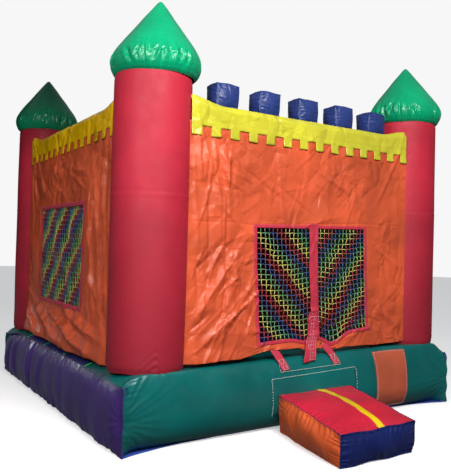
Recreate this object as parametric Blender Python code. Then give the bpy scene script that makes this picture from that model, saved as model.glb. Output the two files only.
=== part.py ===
"""Castle bounce house: an inflatable play house on a square mattress base.

Metres, +Z up. The origin is the centre of the ground sheet's underside. The
entrance faces -Y and +X is to the right of someone who faces the entrance.
Every inflated chamber is a thin skin with its air passage left open, so no
solid holds a sealed hollow.
"""
import math

import bmesh
import bpy
from mathutils import Matrix, Vector

# ---- driving dimensions -------------------------------------------------
SKIN = 0.008                # thickness that stands in for coated fabric
GAP = 0.0005                # clearance between touching pieces

BASE_HALF = 1.98            # half the width of the base at its fattest
BASE_TOP = 0.60             # height of the bouncing surface
BASE_TUCK = 0.20            # how far the base rolls in at the ground
BASE_ROLL = 0.10            # how far it rolls in at its top edge
BASE_WAIST = 0.27           # height of the fattest line of the base
FLOOR_HALF_Y = 0.99         # half the length of the navy middle section
FLOOR_HALF_X = 1.60         # half the width of the part that is jumped on
SIDE_PLANE = 1.89           # where the front and back sections end in X

COLUMN_SPACING = 3.21       # between column axes, both ways
COLUMN_R = 0.34
COLUMN_TOP = 3.16
AIR_PASSAGE_R = 0.12        # hole under each column that feeds it with air
DOME_R = 0.398
DOME_H = 0.66
ROUND_STEPS = 24            # sides of a round chamber

WALL_PLANE = 1.848          # walls hang outside the column axes
WALL_HALF = 1.355           # half the wall's width between the columns
WALL_BOTTOM = 0.615
WALL_TOP = 2.78
BAND_TOP = 2.98             # yellow band sewn along the wall's top edge
BAND_GAP_TOP = 2.745
BAND_TOOTH_BOTTOM = 2.66
TOOTH_PITCH = 0.2
TUBE_R = 0.115              # inflated tube along the top of each wall
TUBE_Z = 2.83
TUBE_INSET = 0.135          # its axis behind the wall plane

CRENEL_COUNT = 5
CRENEL_PITCH = 0.475
CRENEL_W = 0.235
CRENEL_D = 0.19
CRENEL_Z = (2.955, 3.16)
CRENEL_Y = -1.8

DOOR_X = 0.05               # the doorway's centre
DOOR_W = 1.43
DOOR_Z = (0.79, 1.93)
WINDOW_Y = 0.10             # the side window's centre
WINDOW_W = 1.47
WINDOW_Z = (1.02, 2.12)
TRIM_W = 0.045              # red binding round each net
NET_T = 0.006
COVER_W = 0.11              # red strap that covers the door zip
COVER_TAB_Z = 0.615
PATCH_LIFT = 0.002          # patches stand this far off the base
PATCH_T = 0.004

STEP_HINGE = (-1.99, 0.30)  # y and z of the seam that holds the step
STEP_BACK_X = (-0.40, 0.50)
STEP_FRONT_X = (-0.60, 0.22)
STEP_FRONT_Y = -2.99
STEP_FRONT_Z = 0.26
STRIPE_START = 0.03         # share of the step's length left clear at its seam

INLET = (1.05, 0.27, 0.14, 0.10)   # x, z, outer radius and length
VENT_X = -0.9                      # centre of the rear deflation port
VENT_W, VENT_Z = 0.5, (0.20, 0.42)

HALF = COLUMN_SPACING / 2
GROUND_T = 0.006
BASE_BOTTOM = GROUND_T + GAP

# ---- colours ------------------------------------------------------------
COLOURS = {                 # name: (sRGB colour, roughness)
    "vinyl_teal": ((8, 98, 92), 0.32),
    "vinyl_purple": ((66, 50, 104), 0.32),
    "vinyl_navy": ((38, 50, 112), 0.32),
    "vinyl_crimson": ((205, 38, 66), 0.30),
    "vinyl_emerald": ((0, 165, 105), 0.28),
    "vinyl_orange": ((222, 92, 56), 0.34),
    "vinyl_yellow": ((206, 220, 52), 0.30),
    "vinyl_red": ((200, 35, 60), 0.32),
    "seam_green": ((40, 180, 100), 0.40),
    "webbing_red": ((200, 62, 88), 0.60),
    "net_cord": ((90, 110, 120), 0.70),
    "zip_black": ((24, 24, 27), 0.50),
    "slider_metal": ((140, 142, 148), 0.35),
    "tarp_blue": ((58, 92, 190), 0.45),
    "label_orange": ((214, 104, 66), 0.45),
    "thread_white": ((190, 215, 215), 0.60),
}


def linear(channel):
    value = channel / 255
    return value / 12.92 if value <= 0.04045 else ((value + 0.055) / 1.055) ** 2.4


def material(name):
    """The Principled material of that name, made on first use."""
    if name in bpy.data.materials:
        return bpy.data.materials[name]
    colour, roughness = COLOURS[name]
    made = bpy.data.materials.new(name)
    made.use_nodes = True
    shader = made.node_tree.nodes["Principled BSDF"]
    shader.inputs["Base Color"].default_value = (*map(linear, colour), 1)
    shader.inputs["Roughness"].default_value = roughness
    shader.inputs["Metallic"].default_value = 0.9 if name == "slider_metal" else 0
    return made


# ---- building blocks ----------------------------------------------------
def clear_scene():
    for obj in list(bpy.data.objects):
        bpy.data.objects.remove(obj)


def finish(name, bm, paint, parent=None, smooth=False):
    """Turns a bmesh in world coordinates into a named, painted object."""
    bmesh.ops.recalc_face_normals(bm, faces=bm.faces)
    mesh = bpy.data.meshes.new(name)
    bm.to_mesh(mesh)
    bm.free()
    obj = bpy.data.objects.new(name, mesh)
    bpy.context.scene.collection.objects.link(obj)
    mesh.materials.append(material(paint))
    if smooth:
        mesh.shade_smooth()
        mesh.set_sharp_from_angle(angle=math.radians(40))
    if parent:
        obj.parent = parent
        mesh.transform(Matrix.Translation(-Vector(parent.location)))
    return obj


def pivot(name, place):
    """An empty on a joint's axis, which the moving pieces are parented to."""
    empty = bpy.data.objects.new(name, None)
    empty.location = place
    bpy.context.scene.collection.objects.link(empty)
    return empty


def prism(name, outline, axis, low, high, paint, **kwargs):
    """Extrudes a closed outline of 2-D points along X, Y or Z."""
    bm = bmesh.new()
    rings = []
    for depth in (low, high):
        rings.append([bm.verts.new(on_axis(axis, depth, p)) for p in outline])
    bm.faces.new(rings[0])
    bm.faces.new(list(reversed(rings[1])))
    count = len(outline)
    for i in range(count):
        j = (i + 1) % count
        bm.faces.new((rings[0][j], rings[0][i], rings[1][i], rings[1][j]))
    bmesh.ops.triangulate(bm, faces=[f for f in bm.faces if len(f.verts) > 4])
    return finish(name, bm, paint, **kwargs)


def on_axis(axis, depth, point):
    """A 3-D point: depth along the axis, point in the plane across it."""
    if axis == "X":
        return (depth, point[0], point[1])
    if axis == "Y":
        return (point[0], depth, point[1])
    return (point[0], point[1], depth)


def box(name, low, high, paint, **kwargs):
    outline = [(low[0], low[1]), (high[0], low[1]), (high[0], high[1]), (low[0], high[1])]
    return prism(name, outline, "Z", low[2], high[2], paint, **kwargs)


def grid_plate(name, us, vs, cells, axis, low, high, paint, **kwargs):
    """A flat plate made of the named cells of a grid. us and vs are the
    grid's lines in the plane across the axis, cells are (column, row)."""
    bm = bmesh.new()
    used = {(i + a, j + b) for i, j in cells for a in (0, 1) for b in (0, 1)}
    at = {(i, j): bm.verts.new(on_axis(axis, low, (us[i], vs[j]))) for i, j in sorted(used)}
    faces = []
    for i, j in cells:
        corners = ((i, j), (i + 1, j), (i + 1, j + 1), (i, j + 1))
        faces.append(bm.faces.new([at[corner] for corner in corners]))
    return thicken(name, bm, faces, on_axis(axis, high - low, (0, 0)), paint, **kwargs)


def strip(name, outer, inner, axis, low, high, paint, **kwargs):
    """Extrudes the band between two rows of 2-D points along X, Y or Z."""
    bm = bmesh.new()
    rows = [[bm.verts.new(on_axis(axis, low, p)) for p in row] for row in (outer, inner)]
    faces = []
    for i in range(len(outer) - 1):
        corners = (rows[0][i], rows[0][i + 1], rows[1][i + 1], rows[1][i])
        faces.append(bm.faces.new(corners))
    return thicken(name, bm, faces, on_axis(axis, high - low, (0, 0)), paint, **kwargs)


def thicken(name, bm, faces, reach, paint, **kwargs):
    """Makes a plate of flat faces by moving a copy of them along reach."""
    extruded = bmesh.ops.extrude_face_region(bm, geom=faces)
    moved = [v for v in extruded["geom"] if isinstance(v, bmesh.types.BMVert)]
    bmesh.ops.translate(bm, verts=moved, vec=reach)
    return finish(name, bm, paint, **kwargs)


def frame_plate(name, outer, hole, axis, low, high, paint, **kwargs):
    """A flat plate with one rectangular hole. outer and hole are
    ((u0, v0), (u1, v1)) in the plane across the axis."""
    us = (outer[0][0], hole[0][0], hole[1][0], outer[1][0])
    vs = (outer[0][1], hole[0][1], hole[1][1], outer[1][1])
    cells = [(i, j) for i in range(3) for j in range(3) if (i, j) != (1, 1)]
    return grid_plate(name, us, vs, cells, axis, low, high, paint, **kwargs)


def turned(name, profile, centre, paint, steps=ROUND_STEPS, axis="Z", **kwargs):
    """Turns a closed profile of (radius, height) points round an axis."""
    bm = bmesh.new()
    columns = []
    for k in range(steps):
        angle = 2 * math.pi * k / steps
        cos, sin = math.cos(angle), math.sin(angle)
        column = []
        for i, (radius, height) in enumerate(profile):
            if radius == 0 and k:
                column.append(columns[0][i])
                continue
            across = (radius * cos, radius * sin)
            column.append(bm.verts.new(Vector(on_axis(axis, height, across)) + Vector(centre)))
        columns.append(column)
    count = len(profile)
    for k in range(steps):
        here, there = columns[k], columns[(k + 1) % steps]
        for i in range(count):
            j = (i + 1) % count
            corners = (here[i], there[i], there[j], here[j])
            distinct = list(dict.fromkeys(corners))
            if len(distinct) > 2:
                bm.faces.new(distinct)
    return finish(name, bm, paint, smooth=True, **kwargs)


def cut(obj, cutter):
    """Cuts a hidden shape from an object with an exact Boolean."""
    cutter.hide_render = True
    cutter.display_type = "WIRE"
    modifier = obj.modifiers.new(cutter.name, "BOOLEAN")
    modifier.operation = "DIFFERENCE"
    modifier.solver = "EXACT"
    modifier.object = cutter


def ellipse_arc(centre, radii, start, end, steps):
    """Points of an ellipse's arc, with the angles in degrees."""
    points = []
    for k in range(steps + 1):
        angle = math.radians(start + (end - start) * k / steps)
        across = centre[0] + radii[0] * math.cos(angle)
        points.append((across, centre[1] + radii[1] * math.sin(angle)))
    return points


def base_roll(inset=0.0, steps=5):
    """The rounded outer side of the base, from the ground to the top.
    Points are (distance outwards, height)."""
    low = BASE_BOTTOM + inset
    top = BASE_TOP - inset
    edge = BASE_HALF - inset
    lower = ellipse_arc(
        (BASE_HALF - BASE_TUCK, BASE_WAIST),
        (edge - BASE_HALF + BASE_TUCK, BASE_WAIST - low), -90, 0, steps,
    )
    upper = ellipse_arc(
        (BASE_HALF - BASE_ROLL, BASE_WAIST),
        (edge - BASE_HALF + BASE_ROLL, top - BASE_WAIST), 0, 90, steps,
    )
    return lower + upper[1:]


# ---- base ---------------------------------------------------------------
def ground_sheet():
    """Tarp under the base, cut to the base's hollow-sided footprint."""
    corner, middle = BASE_HALF - 0.015, BASE_HALF - BASE_TUCK + 0.02
    outline = []
    for turn in range(4):
        rotate = Matrix.Rotation(turn * math.pi / 2, 2)
        for k in range(8):
            along = -1 + k / 4
            out = middle + (corner - middle) * abs(along) ** 4
            outline.append(tuple(rotate @ Vector((along * corner, -out))))
    prism("ground_sheet", outline, "Z", 0, GROUND_T, "tarp_blue")


def end_section(name, sign):
    """Front (sign -1) or back teal section, hollow, with air passages."""
    inner_y = FLOOR_HALF_Y + GAP
    outer = [(sign * y, z) for y, z in base_roll()]
    outer += [(sign * inner_y, BASE_TOP), (sign * inner_y, BASE_BOTTOM)]
    body = prism(name, outer, "X", -SIDE_PLANE, SIDE_PLANE, "vinyl_teal", smooth=True)
    inside = [(sign * y, z) for y, z in base_roll(SKIN)]
    inside += [(sign * (inner_y + SKIN), BASE_TOP - SKIN)]
    inside += [(sign * (inner_y + SKIN), BASE_BOTTOM + SKIN)]
    reach = SIDE_PLANE - SKIN
    cut(body, prism(name + "_air", inside, "X", -reach, reach, "vinyl_teal"))
    for side in (-1, 1):
        label = f"{name}_passage_{'left' if side < 0 else 'right'}"
        hole = [(AIR_PASSAGE_R, -0.05), (AIR_PASSAGE_R, 0.05), (0, 0.05), (0, -0.05)]
        place = (side * HALF, sign * HALF, BASE_TOP)
        cut(body, turned(label, hole, place, "vinyl_teal", steps=16))
    return body


def side_panel(name, sign):
    """Purple panel that closes the base along one side, bulged by the air."""
    shown = [(d, z) for d, z in base_roll() if d > SIDE_PLANE + 2 * SKIN]
    outer = [(sign * d, z) for d, z in shown]
    inner = [(sign * (d - SKIN), z) for d, z in shown]
    reach = BASE_HALF - BASE_ROLL
    strip(name, outer, inner, "Y", -reach, reach, "vinyl_purple", smooth=True)


def middle_edge(name, sign):
    """Navy edge of the middle section: the ledge outside the side wall."""
    near, far = sorted((sign * (FLOOR_HALF_X + GAP), sign * SIDE_PLANE))
    reach = FLOOR_HALF_Y - GAP
    low = BASE_BOTTOM
    body = box(name, (near, -reach, low), (far, reach, BASE_TOP), "vinyl_navy")
    hollow_low = (near + SKIN, -reach + SKIN, low - SKIN)
    hollow_high = (far - SKIN, reach - SKIN, BASE_TOP - SKIN)
    cut(body, box(name + "_air", hollow_low, hollow_high, "vinyl_navy"))


def middle_section():
    middle_edge("floor_edge_left", -1)
    middle_edge("floor_edge_right", 1)
    reach_x, reach_y = FLOOR_HALF_X - GAP, FLOOR_HALF_Y - GAP
    low, high = BASE_BOTTOM, BASE_BOTTOM + SKIN
    box("base_underside", (-reach_x, -reach_y, low), (reach_x, reach_y, high), "vinyl_navy")
    for number, place in enumerate((-FLOOR_HALF_Y / 3, FLOOR_HALF_Y / 3), 1):
        low_corner = (-reach_x + 0.05, place - SKIN / 2, high + GAP)
        high_corner = (reach_x - 0.05, place + SKIN / 2, 0.34)
        box(f"floor_baffle_{number}", low_corner, high_corner, "vinyl_navy")


def bounce_floor():
    """The jumping surface: a pan with short skirts, which sinks when loaded."""
    mover = pivot("bounce_floor_travel", (0, 0, BASE_TOP))
    clear = 0.012
    reach_x, reach_y = FLOOR_HALF_X - clear, FLOOR_HALF_Y - clear
    skirt = 0.10
    body = box(
        "bounce_floor", (-reach_x, -reach_y, BASE_TOP - skirt), (reach_x, reach_y, BASE_TOP),
        "vinyl_navy", parent=mover,
    )
    hollow_low = (-reach_x + SKIN, -reach_y + SKIN, BASE_TOP - skirt - SKIN)
    hollow_high = (reach_x - SKIN, reach_y - SKIN, BASE_TOP - SKIN)
    cut(body, box("bounce_floor_air", hollow_low, hollow_high, "vinyl_navy"))


# ---- towers -------------------------------------------------------------
def dome_profile(inset=0.0, steps=4):
    """Outer profile of a tower roof: a bulged rim and a cone above it."""
    rim = ellipse_arc((DOME_R - 0.085, 0.10), (0.085 - inset, 0.10 - inset), -90, 60, 6)
    start = Vector(rim[-1])
    tip = Vector((0, DOME_H - 1.4 * inset))
    cone = []
    for k in range(1, steps + 1):
        share = k / steps
        point = start.lerp(tip, share)
        bow = 0.02 * math.sin(math.pi * share)
        cone.append((0 if k == steps else point.x + bow, point.y))
    return rim + cone


def tower(name, place):
    low = BASE_TOP + GAP
    rows = [(0, 0), (0.08, 0.005), (0.5, 0.0), (0.92, 0.005), (1, 0)]
    height = COLUMN_TOP - low
    outer = [(COLUMN_R + swell, low + share * height) for share, swell in rows]
    inner = [(radius - SKIN, z) for radius, z in outer]
    turned("column_" + name, outer + inner[::-1], place, "vinyl_crimson")
    foot = COLUMN_TOP + GAP
    outer = [(r, foot + z) for r, z in dome_profile()]
    inner = [(r, foot + z) for r, z in dome_profile(SKIN)]
    inner[0] = (outer[0][0] - SKIN, foot)
    turned("dome_" + name, outer + inner[::-1], place, "vinyl_emerald")


# ---- walls --------------------------------------------------------------
SIDES = {                   # name: (axis across the wall, sign of its plane)
    "front": ("Y", -1),
    "back": ("Y", 1),
    "left": ("X", -1),
    "right": ("X", 1),
}


def slab(sign, inner, outer):
    """Low and high depth of a layer, given as distances outside the centre."""
    return tuple(sorted((sign * inner, sign * outer)))


def opening_of(side):
    """The door's or window's rectangle on that wall."""
    if side == "front":
        centre, width, (low, high) = DOOR_X, DOOR_W, DOOR_Z
    else:
        centre = -WINDOW_Y if side == "right" else WINDOW_Y
        centre = 0 if side == "back" else centre
        width, (low, high) = WINDOW_W, WINDOW_Z
    return (centre - width / 2, low), (centre + width / 2, high)


def inset(rectangle, by):
    (u0, v0), (u1, v1) = rectangle
    return (u0 + by, v0 + by), (u1 - by, v1 - by)


def wall(side):
    axis, sign = SIDES[side]
    outer = (-WALL_HALF, WALL_BOTTOM), (WALL_HALF, WALL_TOP)
    layer = slab(sign, WALL_PLANE, WALL_PLANE + SKIN)
    hole = inset(opening_of(side), TRIM_W / 2)
    frame_plate("wall_" + side, outer, hole, axis, *layer, "vinyl_orange")


def band(side):
    """Yellow band along the wall's top, its lower edge cut into teeth."""
    axis, sign = SIDES[side]
    count = round(2 * WALL_HALF / TOOTH_PITCH)
    pitch = 2 * WALL_HALF / (count - 0.5)
    us = []
    for number in range(count):
        left = -WALL_HALF + number * pitch
        us += [left, left + pitch / 2]
    vs = (BAND_TOOTH_BOTTOM, BAND_GAP_TOP, BAND_TOP)
    cells = [(i, 1) for i in range(len(us) - 1)]
    cells += [(i, 0) for i in range(0, len(us) - 1, 2)]
    outside = WALL_PLANE + SKIN + GAP
    layer = slab(sign, outside, outside + SKIN)
    grid_plate("band_" + side, us, vs, cells, axis, *layer, "vinyl_yellow")


def top_tube(side):
    """Inflated tube from column to column, which holds the wall's top edge.
    Each end stops short of the column's round side and is open to it."""
    axis, sign = SIDES[side]
    depth = sign * (WALL_PLANE - TUBE_INSET)
    along = "X" if axis == "Y" else "Y"
    lateral = depth - sign * HALF
    nearest = max(0.0, abs(lateral) - TUBE_R)
    reach = HALF - math.sqrt(COLUMN_R**2 - nearest**2) - 0.01
    profile = [
        (TUBE_R, -reach), (TUBE_R, reach),
        (TUBE_R - SKIN, reach), (TUBE_R - SKIN, -reach),
    ]
    centre = (0, depth, TUBE_Z) if axis == "Y" else (depth, 0, TUBE_Z)
    turned("top_tube_" + side, profile, centre, "vinyl_navy", steps=16, axis=along)


def crenels():
    """Square inflated battlements on the front tube, open underneath."""
    for number in range(CRENEL_COUNT):
        middle = (number - (CRENEL_COUNT - 1) / 2) * CRENEL_PITCH
        low = (middle - CRENEL_W / 2, CRENEL_Y, CRENEL_Z[0])
        high = (middle + CRENEL_W / 2, CRENEL_Y + CRENEL_D, CRENEL_Z[1])
        name = f"crenel_{number + 1}"
        body = box(name, low, high, "vinyl_navy")
        hollow_low = (low[0] + SKIN, low[1] + SKIN, low[2] - SKIN)
        hollow_high = tuple(corner - SKIN for corner in high)
        cut(body, box(name + "_air", hollow_low, hollow_high, "vinyl_navy"))


def window(side):
    axis, sign = SIDES[side]
    edge = opening_of(side)
    behind = WALL_PLANE - GAP
    net = slab(sign, behind - NET_T, behind)
    (u0, v0), (u1, v1) = inset(edge, GAP)
    corners = [(u0, v0), (u1, v0), (u1, v1), (u0, v1)]
    prism("window_net_" + side, corners, axis, *net, "net_cord")
    outside = WALL_PLANE + SKIN + GAP
    binding = slab(sign, outside, outside + NET_T)
    frame_plate("window_trim_" + side, edge, inset(edge, TRIM_W), axis, *binding, "webbing_red")


def roof_cover():
    """Sun cover laced between the top tubes, just under their middle."""
    reach = WALL_PLANE - TUBE_INSET - TUBE_R - 0.01
    clip = HALF - COLUMN_R - 0.01
    lines = (-reach, -clip, clip, reach)
    cells = [(1, 1), (0, 1), (2, 1), (1, 0), (1, 2)]
    layer = (TUBE_Z, TUBE_Z + SKIN)
    grid_plate("roof_cover", lines, lines, cells, "Z", *layer, "vinyl_orange")


# ---- entrance -----------------------------------------------------------
def door():
    """Two net flaps, the zip between them and the strap over the zip."""
    (left, low), (right, high) = opening_of("front")
    centre = (left + right) / 2
    plane = -WALL_PLANE + GAP
    zip_half = 0.012
    flaps = (("left", left, centre - zip_half), ("right", right, centre + zip_half))
    for side, hinge_x, meet_x in flaps:
        hinge = pivot(f"door_{side}_hinge", (hinge_x, plane, (low + high) / 2))
        u0, u1 = sorted((hinge_x, meet_x))
        outer = (u0, low), (u1, high)
        corners = [(u0, low), (u1, low), (u1, high), (u0, high)]
        net = plane, plane + NET_T
        prism(f"door_net_{side}", corners, "Y", *net, "net_cord", parent=hinge)
        binding = net[1] + GAP, net[1] + GAP + NET_T / 2
        frame_plate(
            f"door_trim_{side}", outer, inset(outer, TRIM_W), "Y", *binding,
            "webbing_red", parent=hinge,
        )
    tape_low = (centre - zip_half + GAP, plane + 0.001, low)
    tape_high = (centre + zip_half - GAP, plane + 0.005, high)
    left_hinge = bpy.data.objects["door_left_hinge"]
    box("door_zip", tape_low, tape_high, "zip_black", parent=left_hinge)
    travel = pivot("door_zip_travel", (centre, plane, low))
    slider_low = (centre - 0.009, plane - 0.008, low + 0.03)
    slider_high = (centre + 0.009, plane - GAP, low + 0.08)
    box("door_zip_slider", slider_low, slider_high, "slider_metal", parent=travel)
    lift_z = high + 0.02
    outside = -WALL_PLANE - SKIN - GAP
    lift = pivot("zip_cover_lift", (centre, outside, lift_z))
    cover_low = (centre - COVER_W / 2, outside - NET_T, COVER_TAB_Z)
    cover_high = (centre + COVER_W / 2, outside, lift_z)
    box("zip_cover", cover_low, cover_high, "webbing_red", parent=lift)


def base_surface(start, end, lift, steps=6):
    """Points (y, z) standing off the base's front by lift, between two
    shares of its height from the waist: -1 at the ground, 1 at the top."""
    points = []
    for k in range(steps + 1):
        share = start + (end - start) * k / steps
        rise = BASE_WAIST - BASE_BOTTOM if share < 0 else BASE_TOP - BASE_WAIST
        roll = BASE_TUCK if share < 0 else BASE_ROLL
        cosine = math.sqrt(1 - share * share)
        out = BASE_HALF - roll + roll * cosine
        normal = Vector((cosine / roll, share / rise)).normalized() * lift
        points.append((-(out + normal.x), BASE_WAIST + share * rise + normal.y))
    return points


def patch(name, start, end, x_range, paint):
    """A piece of fabric that lies on the front of the base."""
    inner = base_surface(start, end, PATCH_LIFT)
    outer = base_surface(start, end, PATCH_LIFT + PATCH_T)
    strip(name, outer, inner, "X", *x_range, paint)


def entrance_patches():
    """Webbing that ties the door's lower edge to the base, the sewn patch
    that carries the step, and a plain care panel."""
    patch("entrance_strap_left", 0.52, 0.92, (-0.45, -0.30), "webbing_red")
    patch("entrance_strap_right", 0.52, 0.92, (0.19, 0.33), "webbing_red")
    patch("step_patch", -0.30, 0.42, (-0.52, 0.56), "vinyl_teal")
    patch("care_panel", -0.50, 0.80, (0.80, 1.25), "label_orange")


def step():
    """Inflated step, sewn to the base along the top of its back face."""
    hinge = pivot("step_hinge", (0.05, *STEP_HINGE))
    back_y, back_z = STEP_HINGE
    floor = 0.0
    plan = [
        (STEP_BACK_X[0], back_y, back_z), (STEP_BACK_X[1], back_y, back_z),
        (STEP_FRONT_X[1], STEP_FRONT_Y, STEP_FRONT_Z), (STEP_FRONT_X[0], STEP_FRONT_Y, STEP_FRONT_Z),
    ]

    def blocks(inwards, bottom, name, parent):
        bm = bmesh.new()
        middle = Vector((sum(p[0] for p in plan), sum(p[1] for p in plan), 0)) / 4
        rings = []
        for level in (0, 1):
            ring = []
            for x, y, z in plan:
                towards = (Vector((x, y, 0)) - middle).normalized() * inwards * 1.4
                height = z - inwards if level else bottom
                ring.append(bm.verts.new((x - towards.x, y - towards.y, height)))
            rings.append(ring)
        bm.faces.new(rings[0])
        bm.faces.new(reversed(rings[1]))
        for i in range(4):
            j = (i + 1) % 4
            bm.faces.new((rings[0][j], rings[0][i], rings[1][i], rings[1][j]))
        return finish(name, bm, "vinyl_red", parent=parent)

    body = blocks(0.0, floor, "step", hinge)
    cut(body, blocks(SKIN, floor + SKIN, "step_air", hinge))
    port = [(0.04, -0.02), (0.04, 0.02), (0, 0.02), (0, -0.02)]
    place = (0.05, back_y, 0.12)
    cut(body, turned("step_air_port", port, place, "vinyl_red", steps=12, axis="Y", parent=hinge))
    stripe(hinge, plan)


def stripe(hinge, plan):
    """Yellow tape down the middle of the step's top."""
    half = 0.03
    front = (Vector(plan[3]) + Vector(plan[2])) / 2
    seam = (Vector(plan[0]) + Vector(plan[1])) / 2
    back = seam.lerp(front, STRIPE_START)
    bm = bmesh.new()
    rings = []
    for height in (GAP, 0.004):
        ring = []
        for end, side in ((back, -1), (back, 1), (front, 1), (front, -1)):
            ring.append(bm.verts.new((end.x + side * half, end.y, end.z + height)))
        rings.append(ring)
    bm.faces.new(rings[0])
    bm.faces.new(reversed(rings[1]))
    for i in range(4):
        j = (i + 1) % 4
        bm.faces.new((rings[0][j], rings[0][i], rings[1][i], rings[1][j]))
    finish("step_stripe", bm, "vinyl_yellow", parent=hinge)


# ---- rear services ------------------------------------------------------
def rear_services():
    """Air inlet collar and the zipped deflation port with its flap."""
    x, z, radius, length = INLET
    face = BASE_HALF + GAP
    profile = [
        (radius, face), (radius, face + length),
        (radius - SKIN, face + length), (radius - SKIN, face),
    ]
    turned("air_inlet", profile, (x, 0, z), "vinyl_teal", axis="Y")
    low, high = VENT_Z
    half = VENT_W / 2
    box("vent_zip", (VENT_X - half, face, 0.30), (VENT_X + half, face + 0.003, 0.33), "zip_black")
    travel = pivot("vent_zip_travel", (VENT_X - half, face, 0.315))
    slider_low = (VENT_X - half + 0.01, face + 0.003 + GAP, 0.306)
    slider_high = (VENT_X - half + 0.05, face + 0.011, 0.324)
    box("vent_zip_slider", slider_low, slider_high, "slider_metal", parent=travel)
    hinge = pivot("vent_flap_hinge", (VENT_X, face + 0.012, high))
    flap_low = (VENT_X - half - 0.05, face + 0.012, low)
    flap_high = (VENT_X + half + 0.05, face + 0.012 + NET_T, high)
    box("vent_flap", flap_low, flap_high, "vinyl_teal", parent=hinge)


def main():
    clear_scene()
    ground_sheet()
    end_section("base_front", -1)
    end_section("base_back", 1)
    side_panel("base_side_left", -1)
    side_panel("base_side_right", 1)
    middle_section()
    bounce_floor()
    for y_name, y_sign in (("front", -1), ("back", 1)):
        for x_name, x_sign in (("left", -1), ("right", 1)):
            tower(f"{y_name}_{x_name}", (x_sign * HALF, y_sign * HALF, 0))
    for side in SIDES:
        wall(side)
        band(side)
        top_tube(side)
        if side != "front":
            window(side)
    crenels()
    roof_cover()
    door()
    entrance_patches()
    step()
    rear_services()


main()
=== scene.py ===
"""The looks of the castle bounce house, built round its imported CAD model.

Metres, +Z up, entrance towards -Y. Fabric sheets and inflated skins are grids
of points, shaped by formulas for sag, pillows, puckers and crumpling.
"""
import math

import bpy
import numpy as np
from mathutils import Matrix, Vector


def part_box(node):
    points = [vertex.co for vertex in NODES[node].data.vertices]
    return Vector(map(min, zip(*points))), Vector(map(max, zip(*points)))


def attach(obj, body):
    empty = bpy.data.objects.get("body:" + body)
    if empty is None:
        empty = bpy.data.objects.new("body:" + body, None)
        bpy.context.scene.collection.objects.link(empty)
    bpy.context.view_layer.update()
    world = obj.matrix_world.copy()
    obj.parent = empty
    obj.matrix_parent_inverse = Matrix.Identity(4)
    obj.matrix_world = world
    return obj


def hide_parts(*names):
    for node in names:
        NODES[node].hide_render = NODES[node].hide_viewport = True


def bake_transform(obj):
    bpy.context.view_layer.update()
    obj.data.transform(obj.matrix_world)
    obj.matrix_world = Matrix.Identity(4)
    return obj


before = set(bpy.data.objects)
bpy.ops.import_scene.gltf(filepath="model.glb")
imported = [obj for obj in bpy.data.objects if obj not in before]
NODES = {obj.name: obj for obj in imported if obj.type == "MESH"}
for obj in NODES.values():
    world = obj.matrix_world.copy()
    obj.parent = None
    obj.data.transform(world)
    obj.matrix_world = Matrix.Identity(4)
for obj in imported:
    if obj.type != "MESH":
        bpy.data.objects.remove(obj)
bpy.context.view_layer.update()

TAU = 2 * math.pi


# ---- places read from the frame ----------------------------------------
def span(node):
    """Lowest and highest corner of a CAD node."""
    low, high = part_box(node)
    return np.array(low), np.array(high)


COLUMN_LOW, COLUMN_HIGH = span("column_front_right")
HALF = float(COLUMN_LOW[0] + COLUMN_HIGH[0]) / 2          # column axes at +-HALF
COLUMN_R = 0.34
COLUMN_TOP = float(COLUMN_HIGH[2])
BASE_TOP = float(span("base_front")[1][2])
BASE_HALF = -float(span("base_front")[0][1])
FLOOR_Y = float(span("bounce_floor")[1][1]) + 0.012
FLOOR_X = float(span("bounce_floor")[1][0]) + 0.012
WALL_PLANE = float(span("wall_right")[0][0])
WALL_HALF = float(span("wall_front")[1][0])
WALL_BOTTOM = BASE_TOP + 0.03
BAND_TOP = float(span("band_front")[1][2])
TOOTH_LOW = float(span("band_front")[0][2])
TOOTH_GAP = 2.745
DOOR = span("door_net_left")[0], span("door_net_right")[1]
CLOTH_THICK, WEB_THICK = 0.0018, 0.003
# The base's outer side: where it is widest, how far it tucks in below and
# rolls in above, its lowest point, and how far its rear corners sag.
BASE_WAIST, BASE_TUCK, BASE_ROLL = 0.27, 0.20, 0.10
FOOT_Z, REAR_DROP = 0.008, 0.075
DOME_SEAM = 0.125


# ---- noise --------------------------------------------------------------
def lattice(ix, iy, seed):
    """Repeatable pseudo-random values from whole-number places."""
    mixed = (ix * 374761393 + iy * 668265263 + seed * 974711) & 0x7FFFFFFF
    mixed = ((mixed ^ (mixed >> 13)) * 1274126177) & 0x7FFFFFFF
    return ((mixed ^ (mixed >> 16)) & 0xFFFF) / 65535.0


def noise(x, y, seed=0):
    """Smooth gradient noise, about -1 to 1."""
    x0, y0 = np.floor(x).astype(np.int64), np.floor(y).astype(np.int64)
    fx, fy = x - x0, y - y0
    total = 0
    ux, uy = fx**3 * (fx * (fx * 6 - 15) + 10), fy**3 * (fy * (fy * 6 - 15) + 10)
    for dx in (0, 1):
        for dy in (0, 1):
            angle = lattice(x0 + dx, y0 + dy, seed) * TAU
            slope = np.cos(angle) * (fx - dx) + np.sin(angle) * (fy - dy)
            weight = (ux if dx else 1 - ux) * (uy if dy else 1 - uy)
            total = total + slope * weight
    return total * 1.5


def creases(x, y, seed=0, octaves=4):
    """Crumpled-sheet relief: flat facets that meet in sharp creases."""
    wx = x + 0.35 * noise(x * 0.9, y * 0.9, seed + 91)
    wy = y + 0.35 * noise(x * 0.9, y * 0.9, seed + 57)
    total, size = 0, 1.0
    for octave in range(octaves):
        sheet = noise(wx / size, wy / size, seed + 31 * octave)
        total = total + (0.5 - np.abs(sheet)) * size * (1 if octave % 2 == 0 else -1)
        wx, wy = 0.8 * wx + 0.6 * wy, 0.8 * wy - 0.6 * wx
        size *= 0.52
    return total


def smooth(value):
    """0 to 1 with a soft start and end."""
    value = np.clip(value, 0, 1)
    return value * value * (3 - 2 * value)


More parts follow.
